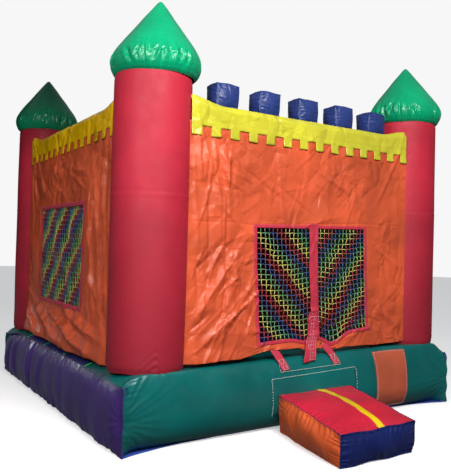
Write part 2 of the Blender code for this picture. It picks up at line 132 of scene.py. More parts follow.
def ramp(value, start, end):
    """Rises softly from 0 at start to 1 at end."""
    return smooth((value - start) / (end - start))


def ridge(u, v, start, end, width, height, sharp=1.3):
    """A fold's relief along the line from start to end, tapered at its ends."""
    (u0, v0), (u1, v1) = start, end
    length = math.hypot(u1 - u0, v1 - v0)
    along = ((u - u0) * (u1 - u0) + (v - v0) * (v1 - v0)) / length**2
    across = np.abs((u - u0) * (v1 - v0) - (v - v0) * (u1 - u0)) / length
    taper = ramp(along, -0.05, 0.25) * (1 - ramp(along, 0.7, 1.05))
    return height * taper * np.clip(1 - across / width, 0, 1) ** sharp


def seam_folds(picker, count, length, along, away, reach, depth, width, slant=0.35):
    """Valleys that run away from a gathered seam, each with raised sides.
    along and away are places along the seam and distances from it."""
    total = 0
    for _ in range(count):
        place, lean = picker.uniform(0, length), picker.normal(0, slant)
        far, deep = picker.uniform(*reach), picker.uniform(*depth)
        wide = picker.uniform(*width)
        across = np.abs(along - place - lean * away)
        taper = np.clip(1 - away / far, 0, 1) ** 0.8
        shoulder = 0.5 * bell(across - 2 * wide, wide)
        total = total + deep * taper * (shoulder - np.exp(-across / wide))
    return total


def strokes(picker, count, u_range, z_range, angles, length, depth, wide):
    """Random straight creases in an area. angles holds (mean, spread) pairs
    in degrees. One flank of a crease is steep, the other shallow."""
    made = []
    for _ in range(count):
        mean, spread = angles[picker.integers(len(angles))]
        lean = math.radians(picker.normal(mean, spread))
        shallow = picker.uniform(*wide)
        steep = shallow * picker.uniform(0.18, 0.5)
        flanks = (shallow, steep) if picker.random() < 0.5 else (steep, shallow)
        deep = picker.uniform(*depth) * (1 if picker.random() < 0.65 else -1)
        place = picker.uniform(*u_range), picker.uniform(*z_range)
        made.append((*place, lean, picker.uniform(*length), *flanks, deep, picker.normal(0, 0.25)))
    return made


def crumple(u, z, marks):
    """Relief left in a sheet by those creases: flat cloth between them."""
    total = np.zeros(np.broadcast(u, z).shape)
    for cu, cz, lean, length, above, below, deep, bend in marks:
        du, dz = u - cu, z - cz
        along = du * math.cos(lean) + dz * math.sin(lean)
        across = dz * math.cos(lean) - du * math.sin(lean) + bend * along**2
        taper = np.clip(1 - (2 * along / length) ** 2, 0, 1)
        total = total + deep * taper * np.exp(-np.abs(across) / np.where(across > 0, above, below))
    return total


# ---- mesh and object helpers --------------------------------------------
def new_object(name, points, faces, materials, index=None, flat=False):
    """A mesh object; index is one material number for each face."""
    mesh = bpy.data.meshes.new(name)
    mesh.from_pydata(np.asarray(points, float).reshape(-1, 3).tolist(), [], faces)
    for entry in materials:
        mesh.materials.append(entry)
    if index is not None:
        mesh.polygons.foreach_set("material_index", np.asarray(index, np.int32))
    mesh.update()
    if not flat:
        mesh.shade_smooth()
    obj = bpy.data.objects.new(name, mesh)
    bpy.context.scene.collection.objects.link(obj)
    return obj


def grid_shares(columns, rows, low=0):
    """Shares from low to 1 down a grid's columns, and 0 to 1 along its rows."""
    return np.linspace(low, 1, columns)[:, None], np.linspace(0, 1, rows)[None, :]


def grid_faces(nu, nv, wrap=False, keep=None):
    """Quads of a grid of points, closed round on itself if asked."""
    faces = []
    for i in range(nu if wrap else nu - 1):
        k = (i + 1) % nu
        for j in range(nv - 1):
            if keep is None or keep[i][j]:
                faces.append((i * nv + j, k * nv + j, k * nv + j + 1, i * nv + j + 1))
    return faces


def drop_loose(points, faces):
    """Leaves out the points that no face uses."""
    used = sorted({corner for face in faces for corner in face})
    at = {old: new for new, old in enumerate(used)}
    points = np.asarray(points, float).reshape(-1, 3)[used]
    return points, [tuple(at[corner] for corner in face) for face in faces]


def thicken(obj, thickness):
    """Gives a sheet its thickness, half to each side, and applies it."""
    modifier = obj.modifiers.new("thickness", "SOLIDIFY")
    modifier.thickness = thickness
    modifier.offset = 0.0
    graph = bpy.context.evaluated_depsgraph_get()
    baked = bpy.data.meshes.new_from_object(obj.evaluated_get(graph))
    obj.modifiers.clear()
    obj.data = baked
    return obj


def add(obj, body, slot, *nodes):
    """Hangs a piece on what it rides on and hides what it replaces; slot, what it is made of, is
    not used.
    """
    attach(obj, body)
    if nodes:
        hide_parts(*nodes)
    return obj


def inflated(obj, body, slot, *nodes):
    """Like add, for a skin held out by the air inside it."""
    add(obj, body, slot, *nodes)


def join_parts(parts):
    """Stacks (points, faces, material index) triples into one mesh's lists.
    A part's index is one number, or a list with one for each face."""
    points, faces, index, start = [], [], [], 0
    for part_points, part_faces, entry in parts:
        points.append(np.asarray(part_points, float).reshape(-1, 3))
        faces += [tuple(corner + start for corner in face) for face in part_faces]
        index += entry if isinstance(entry, list) else [entry] * len(part_faces)
        start += len(points[-1])
    return np.concatenate(points), faces, index


def merged(name, parts, materials, thickness=0.0):
    """One object from such triples, thickened if it is made of sheets."""
    points, faces, index = join_parts(parts)
    obj = new_object(name, points, faces, materials, index)
    return thicken(obj, thickness) if thickness else obj


def bell(distance, width):
    """Bell curve: 1 in the middle, about a third at width."""
    return np.exp(-((distance / width) ** 2))


# ---- materials ----------------------------------------------------------
def linear(rgb):
    """Linear colour, with alpha, from an 8-bit one."""
    out = []
    for channel in rgb:
        value = channel / 255
        out.append(value / 12.92 if value <= 0.04045 else ((value + 0.055) / 1.055) ** 2.4)
    return (*out, 1)


RANGE_NAMES = "From Min", "From Max", "To Min", "To Max"


class Nodes:
    """Short hand for building a node tree."""

    def __init__(self, name):
        self.made = bpy.data.materials.new(name)
        self.made.use_nodes = True
        self.tree = self.made.node_tree
        self.shader = self.tree.nodes["Principled BSDF"]
        self.place = self.add("ShaderNodeTexCoord").outputs["Object"]

    def add(self, kind, **settings):
        node = self.tree.nodes.new(kind)
        for key, value in settings.items():
            setattr(node, key, value)
        return node

    def link(self, source, target):
        self.tree.links.new(source, target)

    def feed(self, socket, value):
        """Gives an input a number or a colour, or what a node puts out."""
        if isinstance(value, (int, float, tuple)):
            socket.default_value = value
        else:
            self.link(value, socket)

    def set(self, name, value):
        """The same for one of the shader's inputs."""
        self.feed(self.shader.inputs[name], value)

    def noise(self, scale, detail=3, distortion=0.0, rough=0.5):
        node = self.add("ShaderNodeTexNoise")
        node.inputs["Scale"].default_value = scale
        node.inputs["Detail"].default_value = detail
        node.inputs["Roughness"].default_value = rough
        node.inputs["Distortion"].default_value = distortion
        self.link(self.place, node.inputs["Vector"])
        return node.outputs["Fac"]

    def mapped(self, stretch):
        node = self.add("ShaderNodeMapping")
        node.inputs["Scale"].default_value = stretch
        self.link(self.place, node.inputs["Vector"])
        return node.outputs["Vector"]

    def range(self, source, low, high, out_low, out_high):
        node = self.add("ShaderNodeMapRange")
        for name, value in zip(RANGE_NAMES, (low, high, out_low, out_high)):
            node.inputs[name].default_value = value
        self.link(source, node.inputs["Value"])
        return node.outputs["Result"]

    def math(self, operation, a, b=None):
        node = self.add("ShaderNodeMath", operation=operation)
        for socket, value in zip(node.inputs, (a, b)):
            if value is not None:
                self.feed(socket, value)
        return node.outputs[0]

    def mix(self, factor, a, b):
        node = self.add("ShaderNodeMix", data_type="RGBA")
        for name, value in (("Factor", factor), ("A", a), ("B", b)):
            self.feed([s for s in node.inputs if s.name == name and s.enabled][0], value)
        return [s for s in node.outputs if s.enabled][0]

    def bump(self, height, strength, distance, onto=None):
        node = self.add("ShaderNodeBump")
        node.inputs["Strength"].default_value = strength
        node.inputs["Distance"].default_value = distance
        self.link(height, node.inputs["Height"])
        if onto is not None:
            self.link(onto, node.inputs["Normal"])
        return node.outputs["Normal"]


def weave(n, threads):
    """Relief of a square weave with that many threads to the metre."""
    total = None
    for axis in ("X", "Y", "Z"):
        node = n.add("ShaderNodeTexWave", bands_direction=axis)
        node.inputs["Scale"].default_value = threads / 20
        n.link(n.place, node.inputs["Vector"])
        total = node.outputs["Fac"] if total is None else n.math("ADD", total, node.outputs["Fac"])
    return total


def facets(n, cells, seed):
    """Height of flat-sided facets that meet in creases, in drifting patches."""
    drift = n.add("ShaderNodeTexNoise")
    drift.inputs["Scale"].default_value = cells * 0.45
    drift.inputs["Detail"].default_value = 3
    n.link(n.place, drift.inputs["Vector"])
    pushed = n.add("ShaderNodeVectorMath", operation="MULTIPLY_ADD")
    n.link(drift.outputs["Color"], pushed.inputs[0])
    pushed.inputs[1].default_value = (1.3 / cells, 1.3 / cells, 1.3 / cells)
    n.link(n.mapped((1, 1, 0.8)), pushed.inputs[2])
    shifted = n.add("ShaderNodeVectorMath", operation="ADD")
    n.link(pushed.outputs[0], shifted.inputs[0])
    shifted.inputs[1].default_value = (seed, seed * 0.7, seed * 1.3)
    cell = n.add("ShaderNodeTexVoronoi", feature="DISTANCE_TO_EDGE")
    cell.inputs["Scale"].default_value = cells
    n.link(shifted.outputs[0], cell.inputs["Vector"])
    patch = n.range(n.noise(1.1 + 0.15 * cells, 2, 0.4), 0.38, 0.62, 0.05, 1)
    return n.math("MULTIPLY", cell.outputs["Distance"], patch)


def vinyl(name, rgb, roughness, wrinkle, scale, dirt, coat=0.05, crumpled=0.0, painted_low_shade=0.0):
    """Coated fabric: glossy, faintly woven, rubbed and soiled with use; if asked,
    painted shade makes it darker lower down, where less light falls."""
    n = Nodes(name)
    base = linear(rgb)
    deep = linear([c * 0.86 for c in rgb])
    pale = linear([c + (255 - c) * 0.05 for c in rgb])
    cloud = n.noise(1.7, 4, 0.3)
    colour = n.mix(n.range(cloud, 0.35, 0.65, 0, 1), deep, base)
    scuff = n.range(n.noise(7.0, 8, 1.2, rough=0.7), 0.58, 0.75, 0, 0.55)
    colour = n.mix(scuff, colour, pale)
    height = n.add("ShaderNodeSeparateXYZ")
    n.link(n.place, height.inputs[0])
    low = n.range(height.outputs["Z"], 0.0, 0.7, 1, 0)
    grime = n.math("MULTIPLY", low, n.range(n.noise(4.0, 6, 0.8), 0.42, 0.7, 0, dirt))
    colour = n.mix(grime, colour, linear((84, 80, 72)))
    # Painted shade: darker towards the bottom, in place of light that falls off lower down.
    if painted_low_shade:
        low_shade = n.range(height.outputs["Z"], 0.5, 2.5, painted_low_shade, 0)
        colour = n.mix(low_shade, colour, linear([c * 0.72 for c in rgb]))
    n.set("Base Color", colour)
    worn = n.range(n.noise(11.0, 6), 0.3, 0.7, roughness - 0.07, roughness + 0.11)
    n.set("Roughness", n.math("ADD", worn, n.math("MULTIPLY", scuff, 0.15)))
    folds = n.noise(scale, 5, 0.6, rough=0.5)
    normal = n.bump(folds, wrinkle, 0.02)
    fine = n.noise(scale * 7, 2)
    normal = n.bump(fine, wrinkle * 0.3, 0.003, normal)
    if crumpled:
        for cells, slope in ((2.2, 0.26), (6.0, 0.24)):
            normal = n.bump(facets(n, cells, cells), 1.0, crumpled * slope / cells, normal)
    normal = n.bump(weave(n, 900), 0.05, 0.0004, normal)
    n.set("Normal", normal)
    n.set("Coat Weight", coat)
    n.set("Coat Roughness", 0.16)
    n.set("Specular IOR Level", 0.38)
    return n.made


def webbing(name, rgb, threads=700):
    """Woven polyester tape."""
    n = Nodes(name)
    colour = n.mix(n.noise(60, 2), linear([c * 0.8 for c in rgb]), linear(rgb))
    n.set("Base Color", colour)
    n.set("Roughness", 0.62)
    n.set("Sheen Weight", 0.06)
    normal = n.bump(weave(n, threads), 0.35, 0.001)
    normal = n.bump(n.noise(22, 5, 0.8), 0.3, 0.006, normal)
    n.set("Normal", normal)
    return n.made


def cord_material(name, rgb):
    """Braided netting cord."""
    n = Nodes(name)
    colour = n.mix(n.noise(90, 2), linear([c * 0.7 for c in rgb]), linear(rgb))
    n.set("Base Color", colour)
    n.set("Roughness", 0.7)
    n.set("Sheen Weight", 0.2)
    n.set("Normal", n.bump(n.noise(420, 2), 0.5, 0.001))
    return n.made


def metal(name, rgb, roughness):
    """Worn cast metal."""
    n = Nodes(name)
    colour = n.mix(n.noise(80, 4), linear([c * 0.75 for c in rgb]), linear(rgb))
    n.set("Base Color", colour)
    n.set("Metallic", 1.0)
    worn = n.range(n.noise(160, 4), 0.3, 0.7, roughness - 0.08, roughness + 0.1)
    n.set("Roughness", worn)
    n.set("Normal", n.bump(n.noise(300, 3), 0.15, 0.0005))
    return n.made


def tarp(name, rgb):
    """Woven ground sheet."""
    n = Nodes(name)
    colour = n.mix(n.noise(3, 5, 0.5), linear([c * 0.75 for c in rgb]), linear(rgb))
    n.set("Base Color", colour)
    n.set("Roughness", 0.45)
    normal = n.bump(weave(n, 300), 0.3, 0.001)
    n.set("Normal", n.bump(n.noise(9, 6, 1.0), 0.5, 0.01, normal))
    return n.made


TEAL = vinyl("teal_vinyl", (0, 102, 100), 0.36, 0.08, 3.0, 0.08)
PURPLE = vinyl("purple_vinyl", (70, 46, 120), 0.20, 0.06, 4.0, 0.03, 0.02)
NAVY = vinyl("navy_vinyl", (40, 58, 122), 0.36, 0.08, 6.0, 0.05)
FLOOR_NAVY = vinyl("floor_navy_vinyl", (26, 40, 100), 0.38, 0.20, 5.0, 0.05)
# The crimson columns get painted shade that darkens them lower down.
CRIMSON = vinyl("crimson_vinyl", (194, 34, 58), 0.58, 0.05, 2.2, 0.08, 0.0, painted_low_shade=0.9)
EMERALD = vinyl("emerald_vinyl", (0, 164, 112), 0.24, 0.04, 5.0, 0.05)
ORANGE = vinyl("orange_vinyl", (220, 92, 54), 0.38, 0.05, 9.0, 0.03, 0.02, crumpled=0.9)
YELLOW = vinyl("yellow_vinyl", (208, 202, 54), 0.22, 0.06, 5.0, 0.03, 0.10, crumpled=0.8)
GOLD = vinyl("gold_vinyl", (250, 196, 0), 0.22, 0.08, 5.0, 0.03, 0.15, crumpled=0.8)
STRIPE_YELLOW = vinyl("stripe_yellow_vinyl", (232, 208, 20), 0.32, 0.12, 6.0, 0.05)
STEP_RED = vinyl("step_red_vinyl", (206, 32, 62), 0.36, 0.06, 4.0, 0.05)
STEP_ORANGE = vinyl("step_orange_vinyl", (240, 104, 52), 0.34, 0.08, 4.0, 0.08)
STEP_NAVY = vinyl("step_navy_vinyl", (20, 34, 100), 0.28, 0.15, 5.0, 0.05)
GREEN_TAPE = vinyl("green_seam_vinyl", (40, 200, 104), 0.4, 0.1, 8.0, 0.0)
PANEL = vinyl("panel_vinyl", (204, 96, 66), 0.45, 0.10, 9.0, 0.02)
RED_WEB = webbing("red_webbing", (206, 44, 72))
THREAD = cord_material("white_thread", (205, 228, 226))
RED_THREAD = cord_material("pale_red_thread", (236, 190, 198))
BLACK_TAPE = webbing("black_zip_tape", (22, 22, 25), 1500)
SLIDER = metal("slider_metal", (150, 152, 158), 0.35)
TARP = tarp("tarp_blue", (62, 98, 200))
CORDS = [
    cord_material("cord_blue", (46, 82, 146)),
    cord_material("cord_green", (96, 172, 112)),
    cord_material("cord_yellow", (214, 214, 104)),
    cord_material("cord_red", (186, 52, 62)),
]


# ---- camera, floor and light --------------------------------------------
def look():
    """Camera at the photographer's place, from the fit to the photo."""
    yaw, pitch, roll = 0.5684, 0.0189, 0.0253
    level = math.cos(pitch)
    forward = Vector((math.sin(yaw) * level, math.cos(yaw) * level, math.sin(pitch)))
    right = Vector((math.cos(yaw), -math.sin(yaw), 0))
    up = right.cross(forward)
    tilted_right = math.cos(roll) * right + math.sin(roll) * up
    tilted_up = math.cos(roll) * up - math.sin(roll) * right
    turn = Matrix((tilted_right, tilted_up, -forward)).transposed().to_4x4()
    data = bpy.data.cameras.new("camera")
    data.sensor_width = 36
    data.lens = 46.08
    camera = bpy.data.objects.new("camera", data)
    camera.matrix_world = Matrix.Translation((-3.894, -6.420, 1.679)) @ turn
    bpy.context.scene.collection.objects.link(camera)
    bpy.context.scene.camera = camera


def stage():
    """Pale floor that fades into the backdrop."""
    n = Nodes("studio_floor")
    colour = n.mix(n.noise(0.6, 3), (0.80, 0.80, 0.80, 1), (0.84, 0.84, 0.84, 1))
    n.set("Base Color", colour)
    n.set("Roughness", 0.8)
    n.set("Specular IOR Level", 0.1)
    n.set("Emission Color", (1, 1, 1, 1))
    n.set("Emission Strength", 0.42)
    size = 39.9
    corners = [(-size, -size, 0), (size, -size, 0), (size, size, 0), (-size, size, 0)]
    floor = new_object("studio_floor", corners, [(0, 1, 2, 3)], [n.made], flat=True)
    floor.visible_diffuse = False
    floor.visible_glossy = False


def glow(name, rgb, strength):
    """A glow from the front side only; from behind it is clear."""
    made = bpy.data.materials.new(name)
    made.use_nodes = True
    tree = made.node_tree
    tree.nodes.clear()
    emission = tree.nodes.new("ShaderNodeEmission")
    emission.inputs["Color"].default_value = (*rgb, 1)
    emission.inputs["Strength"].default_value = strength
    facing = tree.nodes.new("ShaderNodeNewGeometry")
    clear = tree.nodes.new("ShaderNodeBsdfTransparent")
    mix = tree.nodes.new("ShaderNodeMixShader")
    out = tree.nodes.new("ShaderNodeOutputMaterial")
    tree.links.new(facing.outputs["Backfacing"], mix.inputs["Fac"])
    tree.links.new(emission.outputs[0], mix.inputs[1])
    tree.links.new(clear.outputs[0], mix.inputs[2])
    tree.links.new(mix.outputs[0], out.inputs["Surface"])
    return made


def card(name, corners, made, *hidden_from, faces=((0, 1, 2, 3),)):
    """A card on the stage: its front glows, or is black, and its back is
    clear. hidden_from names the kinds of ray that miss it."""
    obj = new_object(name, corners, list(faces), [made], flat=True)
    for kind in hidden_from:
        setattr(obj, "visible_" + kind, False)


def cards():
    """White backdrop all round; a black card of painted shade outside the right wall,
    seen through the doorway in place of the daylight behind it; a card that shades
    the far tower; and a screen that keeps the rim lamp off the left wall."""
    steps, radius, height = 48, 40.0, 45.0
    turn = np.linspace(0, TAU, steps, endpoint=False)
    ring = np.stack([radius * np.cos(turn), radius * np.sin(turn)], -1)
    levels = [np.concatenate([ring, np.full((steps, 1), z)], -1) for z in (-1.0, height)]
    faces = [(a[3], a[2], a[1], a[0]) for a in grid_faces(steps, 2, True)]
    unlit = ("diffuse", "glossy", "shadow")
    white = glow("backdrop_white", (1, 1, 1), 0.93)
    card("studio_backdrop", np.stack(levels, 1), white, *unlit, faces=faces)
    # Painted shade: a near-black card that only the camera sees, so the doorway reads dark.
    x, y, z0 = WALL_PLANE + 0.16, WALL_HALF, BASE_TOP - 0.10
    z1 = float(span("window_net_right")[1][2]) + 0.15
    corners = [(x, -y, z0), (x, -y, z1), (x, y + 0.3, z1), (x, y + 0.3, z0)]
    card("studio_painted_shade_card", corners, glow("painted_shade_black", (0.006, 0.009, 0.006), 1), *unlit)
    corners = [(-4.5, -0.5, 7.0), (0.9, -0.5, 7.0), (0.9, -0.5, 3.50), (-4.5, -0.5, 3.50)]
    card("studio_shade", corners, glow("shade_black", (0, 0, 0), 1), "camera", "glossy")
    corners = [(-3.9, 3.0, 1.92), (-2.0, 3.0, 1.17), (-2.0, 3.0, 5.0), (-3.9, 3.0, 5.0)]
    card("studio_screen", corners, glow("screen_black", (0, 0, 0), 1), "camera")


def lamp(name, place, aim, size, power, colour=(1, 1, 1)):
    """An area lamp at one place, aimed at another."""
    data = bpy.data.lights.new(name, "AREA")
    data.shape = "RECTANGLE"
    data.size, data.size_y = size
    data.energy = power
    data.color = colour
    obj = bpy.data.objects.new(name, data)
    obj.location = place
    obj.rotation_euler = (Vector(aim) - Vector(place)).to_track_quat("-Z", "Y").to_euler()
    bpy.context.scene.collection.objects.link(obj)


def lights():
    """Daylight that is brighter from above, and four lamps."""
    view = bpy.context.scene.view_settings
    view.view_transform = "Standard"
    view.look = "None"
    world = bpy.data.worlds.new("studio")
    world.use_nodes = True
    tree = world.node_tree
    place = tree.nodes.new("ShaderNodeTexCoord")
    parts = tree.nodes.new("ShaderNodeSeparateXYZ")
    rise = tree.nodes.new("ShaderNodeMapRange")
    for name, value in zip(RANGE_NAMES, (-0.3, 0.7, 0.10, 0.22)):
        rise.inputs[name].default_value = value
    tree.links.new(place.outputs["Generated"], parts.inputs[0])
    tree.links.new(parts.outputs["Z"], rise.inputs["Value"])
    tree.links.new(rise.outputs["Result"], tree.nodes["Background"].inputs["Strength"])
    tree.nodes["Background"].inputs["Color"].default_value = (0.90, 0.95, 1, 1)
    bpy.context.scene.world = world
    lamp("key", (-1.7, -7.2, 6.3), (-0.5, -1.7, 2.2), (2.6, 2.6), 540, (1, 0.985, 0.96))
    lamp("front", (-4.2, -9.0, 3.4), (-0.8, -1.6, 1.8), (2.6, 2.6), 70)
    lamp("left", (-5.6, -4.6, 4.2), (-1.9, 0.2, 1.5), (2.0, 2.0), 182, (1, 0.98, 0.95))
    lamp("rim", (-5.2, 8.0, 3.0), (-2.0, 0.4, 0.6), (1.8, 0.7), 34, (0.86, 0.93, 1))


# ---- columns and domes --------------------------------------------------
def end_rise(x, y):
    """Swell of the teal end sections above the floor, more at the front."""
    return np.where(np.asarray(y) < 0, 0.040 + 0.040 * ramp(x, -1.4, 1.6), 0.004)


def base_height(x, y):
    """Height of the base's top there, without its small folds."""
    rise = end_rise(x, y)
    x, y = np.abs(x), np.abs(y)
    over = np.clip((np.maximum(x, y) - (BASE_HALF - 0.08)) / 0.08, 0, 1)
    inwards = (BASE_HALF - BASE_ROLL - y) / (BASE_HALF - BASE_ROLL - FLOOR_Y)
    return BASE_TOP - 0.006 + rise * (1 - ramp(inwards, 0.3, 1.0)) - 0.040 * over**2


def column(name, cx, cy, seed):
    """Corner column: a tube with welded seams, puckered at its ends."""
    steps, rows = 96, 150
    seam_z = 2.13
    angle = np.linspace(0, TAU, steps, endpoint=False)[:, None]
    share = np.linspace(0, 1, rows)[None, :]
    foot = base_height(cx + COLUMN_R * np.cos(angle), cy + COLUMN_R * np.sin(angle)) - 0.006
    z = foot + share * (COLUMN_TOP - foot)
    up = z - foot
    radius = COLUMN_R + 0.006 * np.sin(math.pi * share) ** 0.5 + 0 * angle
    radius = radius - 0.012 * bell(up, 0.03) - 0.010 * bell(z - COLUMN_TOP, 0.03)
    lap = np.abs(z - seam_z)
    overlap = (lap > 0.004) * (lap < 0.03) * (z < seam_z)
    radius = radius - 0.0035 * bell(lap, 0.010) + 0.0016 * overlap
    for centre in (0.3, 2.4, 4.5):
        around = np.angle(np.exp(1j * (angle - centre - 0.4 * seed)))
        radius = radius - 0.0022 * bell(around, 0.012)
        chevron = up - 0.16 + np.abs(around) * 0.35
        fold = bell(around, 0.42) * ramp(0.30 - up, 0, 0.2)
        radius = radius + 0.0075 * fold * np.sin(chevron * 95)
    pucker = np.sin(angle * 41 + 2.5 * np.sin(angle * 7 + seed)) * (0.6 + 0.4 * np.sin(angle * 5))
    radius = radius + 0.0022 * pucker * (np.exp(-up / 0.05) + np.exp(-(COLUMN_TOP - z) / 0.04))
    radius = radius + 0.0012 * pucker * np.exp(-lap / 0.035)
    radius = radius + 0.004 * noise(angle * 1.3 + seed, z * 1.1, 5 + seed)
    points = np.stack([cx + radius * np.cos(angle), cy + radius * np.sin(angle), z], -1)
    obj = new_object("visual_column_" + name, points, grid_faces(steps, rows, True), [CRIMSON])
    inflated(obj, "castle", "vinyl_crimson", "column_" + name)


def dome(name, cx, cy, seed, tall, lean):
    """Tower roof: a cone whose skirt is puckered along a seam and tucked in."""
    steps, rows = 300, 130
    angle = np.linspace(0, TAU, steps, endpoint=False)[:, None]
    share = np.linspace(0, 1, rows)[None, :]
    knots = np.array([
        (0.340, -0.022), (0.358, 0.000), (0.382, 0.040), (0.392, 0.082), (0.389, 0.128),
        (0.375, 0.176), (0.349, 0.226), (0.308, 0.284), (0.243, 0.368), (0.172, 0.458),
        (0.104, 0.546), (0.056, 0.604), (0.024, 0.642), (0.000, 0.662),
    ])
    lengths = np.concatenate([[0], np.cumsum(np.hypot(*np.diff(knots, axis=0).T))])
    lengths /= lengths[-1]
    profile = np.clip(share, 0, 1)
    fine = np.linspace(0, 1, 400)
    rough_r, rough_h = np.interp(fine, lengths, knots[:, 0]), np.interp(fine, lengths, knots[:, 1])
    kernel = np.hanning(23) / np.hanning(23).sum()
    pad = lambda row: np.convolve(np.pad(row, 11, mode="edge"), kernel, "valid")
    radius = np.interp(profile, fine, pad(rough_r)) + 0 * angle
    height = np.interp(profile, fine, pad(rough_h)) + 0 * angle
    radius = radius * (1 - ramp(profile, 0.985, 1.0))
    from_seam = height - DOME_SEAM
    picker = np.random.default_rng(40 + seed)
    folds = 0
    for _ in range(44):
        place, slant = picker.uniform(0, TAU), picker.normal(0, 0.6)
        up, down = picker.uniform(0.03, 0.16), picker.uniform(0.06, 0.15)
        depth, wide = picker.uniform(0.006, 0.024), picker.uniform(0.008, 0.028)
        across = np.angle(np.exp(1j * (angle - place - slant * from_seam))) * 0.39
        taper = np.clip(1 - np.where(from_seam > 0, from_seam / up, -from_seam / down), 0, 1)
        valley = -np.exp(-np.abs(across) / wide)
        shoulder = 0.55 * bell(np.abs(across) - 1.9 * wide, wide)
        folds = folds + depth * taper * (valley + shoulder)
    pleats = np.abs(np.sin(angle * 37 + 2.2 * np.sin(angle * 5 + seed)))
    gathered = np.exp(-np.maximum(height, 0) / 0.06) * ramp(profile, 0.0, 0.04)
    radius = radius + folds + 0.007 * pleats * gathered
    radius = radius - 0.005 * bell(from_seam, 0.005)
    radius = np.clip(radius, 0, 0.412)
    height = height * np.where(height > DOME_SEAM, 1 + tall * (height - DOME_SEAM), 1)
    height = height + 0.004 * noise(angle * 2.0 + seed, height * 9, 3) * (profile < 0.98)
    x = cx + radius * np.cos(angle) + lean * (0.35 + height)
    points = np.stack([x, cy + radius * np.sin(angle), COLUMN_TOP + height], -1)
    obj = new_object("visual_dome_" + name, points, grid_faces(steps, rows, True), [EMERALD])
    inflated(obj, "castle", "vinyl_emerald", "dome_" + name)


def towers():
    """A column and a dome on each corner; the left domes are taller."""
    places = (
        ("front_left", -1, -1, 0.065, 0.045), ("front_right", 1, -1, 0.0, 0.0),
        ("back_left", -1, 1, 0.03, 0.0), ("back_right", 1, 1, 0.0, 0.0),
    )
    for seed, (name, sx, sy, tall, lean) in enumerate(places):
        column(name, sx * HALF, sy * HALF, seed)
        dome(name, sx * HALF, sy * HALF, seed, tall, lean)


# ---- base ---------------------------------------------------------------
def corner_drop(y):
    """How far the base's side edge sags towards its rear corners."""
    return REAR_DROP * ramp(y, 1.30, BASE_HALF - 0.02)


def roll_profile(share, pinned, x, y=-1):
    """Outer side of the base. share 0 is at the ground, 1 on the top edge;
    pinned is 1 at a corner seam, where the skin is drawn flat and square.
    A column's weight keeps the top flat for longer beside it."""
    held = np.exp(-(((np.abs(x) - HALF) / 0.38) ** 4))
    low = share < 0.5
    bottom = np.clip(share * 2, 0, 1) * math.pi / 2
    top = np.clip(share * 2 - 1, 0, 1) * math.pi / 2
    tuck = BASE_TUCK * (1 - 0.93 * pinned)
    roll = BASE_ROLL * (1.25 - 1.0 * pinned) * (1 - 0.6 * held)
    out_low = BASE_HALF - tuck + tuck * np.sin(bottom)
    z_low = FOOT_Z + (BASE_WAIST - FOOT_Z) * (1 - np.cos(bottom))
    rise = end_rise(x, y)
    edge = BASE_TOP + rise - (rise + 0.040 + (REAR_DROP if y > 0 else 0)) * pinned
    out_high = BASE_HALF - roll + roll * np.cos(top)
    z_high = BASE_WAIST + (edge - BASE_WAIST) * np.sin(top)
    return np.where(low, out_low, out_high), np.where(low, z_low, z_high)


def side_drop(x):
    """How far the base's top falls away towards its side seams."""
    share = np.clip((np.abs(x) - 1.80) / (BASE_HALF - 0.034 - 1.80), 0, 1)
    return 0.034 * share**2.5


def corner_inset(z, x, y):
    """How far a corner's seam leans in, most at its rounded top."""
    rounded = np.where((np.asarray(x) < 0) & (np.asarray(y) < 0), 0.0, 1.0)
    top = np.clip((z - BASE_TOP + 0.13) / 0.12, 0, 1)
    return 0.032 * rounded * top**2 + 0.006 * np.sin(z * 17) ** 2


def end_skin(name, sign, node):
    """Teal front or back section: from the ground up over the top to the
    first floor seam, drawn in to a seam at each end."""
    columns, rows = 260, 110
    along, t = grid_shares(columns, rows, -1)
    outer = 0.62
    side = np.clip(t / outer, 0, 1) + 0 * along
    pinned = np.clip((np.abs(along) - 0.88) / 0.12, 0, 1) ** 2.4 + 0 * t
    x = along * (BASE_HALF - 0.012) + 0 * t
    out, z = roll_profile(side, pinned, x, sign)
    round_off = corner_inset(z, along, sign)
    x = along * (BASE_HALF - 0.012 - round_off)
    out = out - round_off * pinned
    inwards = np.clip((t - outer) / (1 - outer), 0, 1)
    out = out - inwards * (out - FLOOR_Y)
    seed = 3 if sign < 0 else 8
    radial = np.arctan2(z - 0.28, (1 - np.abs(along)) * BASE_HALF + 0.02)
    spray = np.abs(np.sin(radial * 13 + seed + 2 * noise(radial * 3, z * 3, seed)))
    from_end = (1 - np.abs(along)) * BASE_HALF
    near_end = np.exp(-from_end / 0.13)
    relief = -0.012 * spray * near_end * (1 - near_end) * 3
    picker = np.random.default_rng(seed)
    relief = relief + seam_folds(
        picker, 16, BASE_TOP, z, from_end + 0 * z, (0.06, 0.24), (0.003, 0.009), (0.006, 0.014)
    )
    relief = relief + 0.003 * noise(x * 9, side * 2.0, seed) * bell(side - 0.95, 0.12)
    relief = relief + 0.006 * noise(x * 1.1, side * 1.5, seed + 2)
    relief = relief - 0.0025 * bell(np.abs(x + 0.02) - 0.86, 0.006)
    below = np.maximum(0, 1.02 - side) * 0.62
    relief = relief + seam_folds(
        picker, 60, 2 * BASE_HALF, x + BASE_HALF, below, (0.04, 0.16), (0.001, 0.004), (0.006, 0.02)
    )
    top = ramp(inwards, 0.0, 0.08)
    out = out + relief * (1 - top) * (1 - pinned * 0.6)
    lift = 0.006 * noise(x * 1.6, inwards * 2, seed + 7) - 0.016 * ramp(inwards, 0.93, 1.0)
    fall = end_rise(x, sign) * ramp(inwards, 0.3, 1.0) * (1 - pinned)
    regained = (REAR_DROP - corner_drop(out)) * pinned * top if sign > 0 else 0
    z = z + top * (lift * (1 - pinned) - 0.004 - side_drop(x) * (1 - pinned)) - fall + regained
    points = np.stack([x, sign * out, np.maximum(z, FOOT_Z)], -1)
    obj = new_object(name, points, grid_faces(columns, rows), [TEAL])
    inflated(obj, "castle", "vinyl_teal", node)


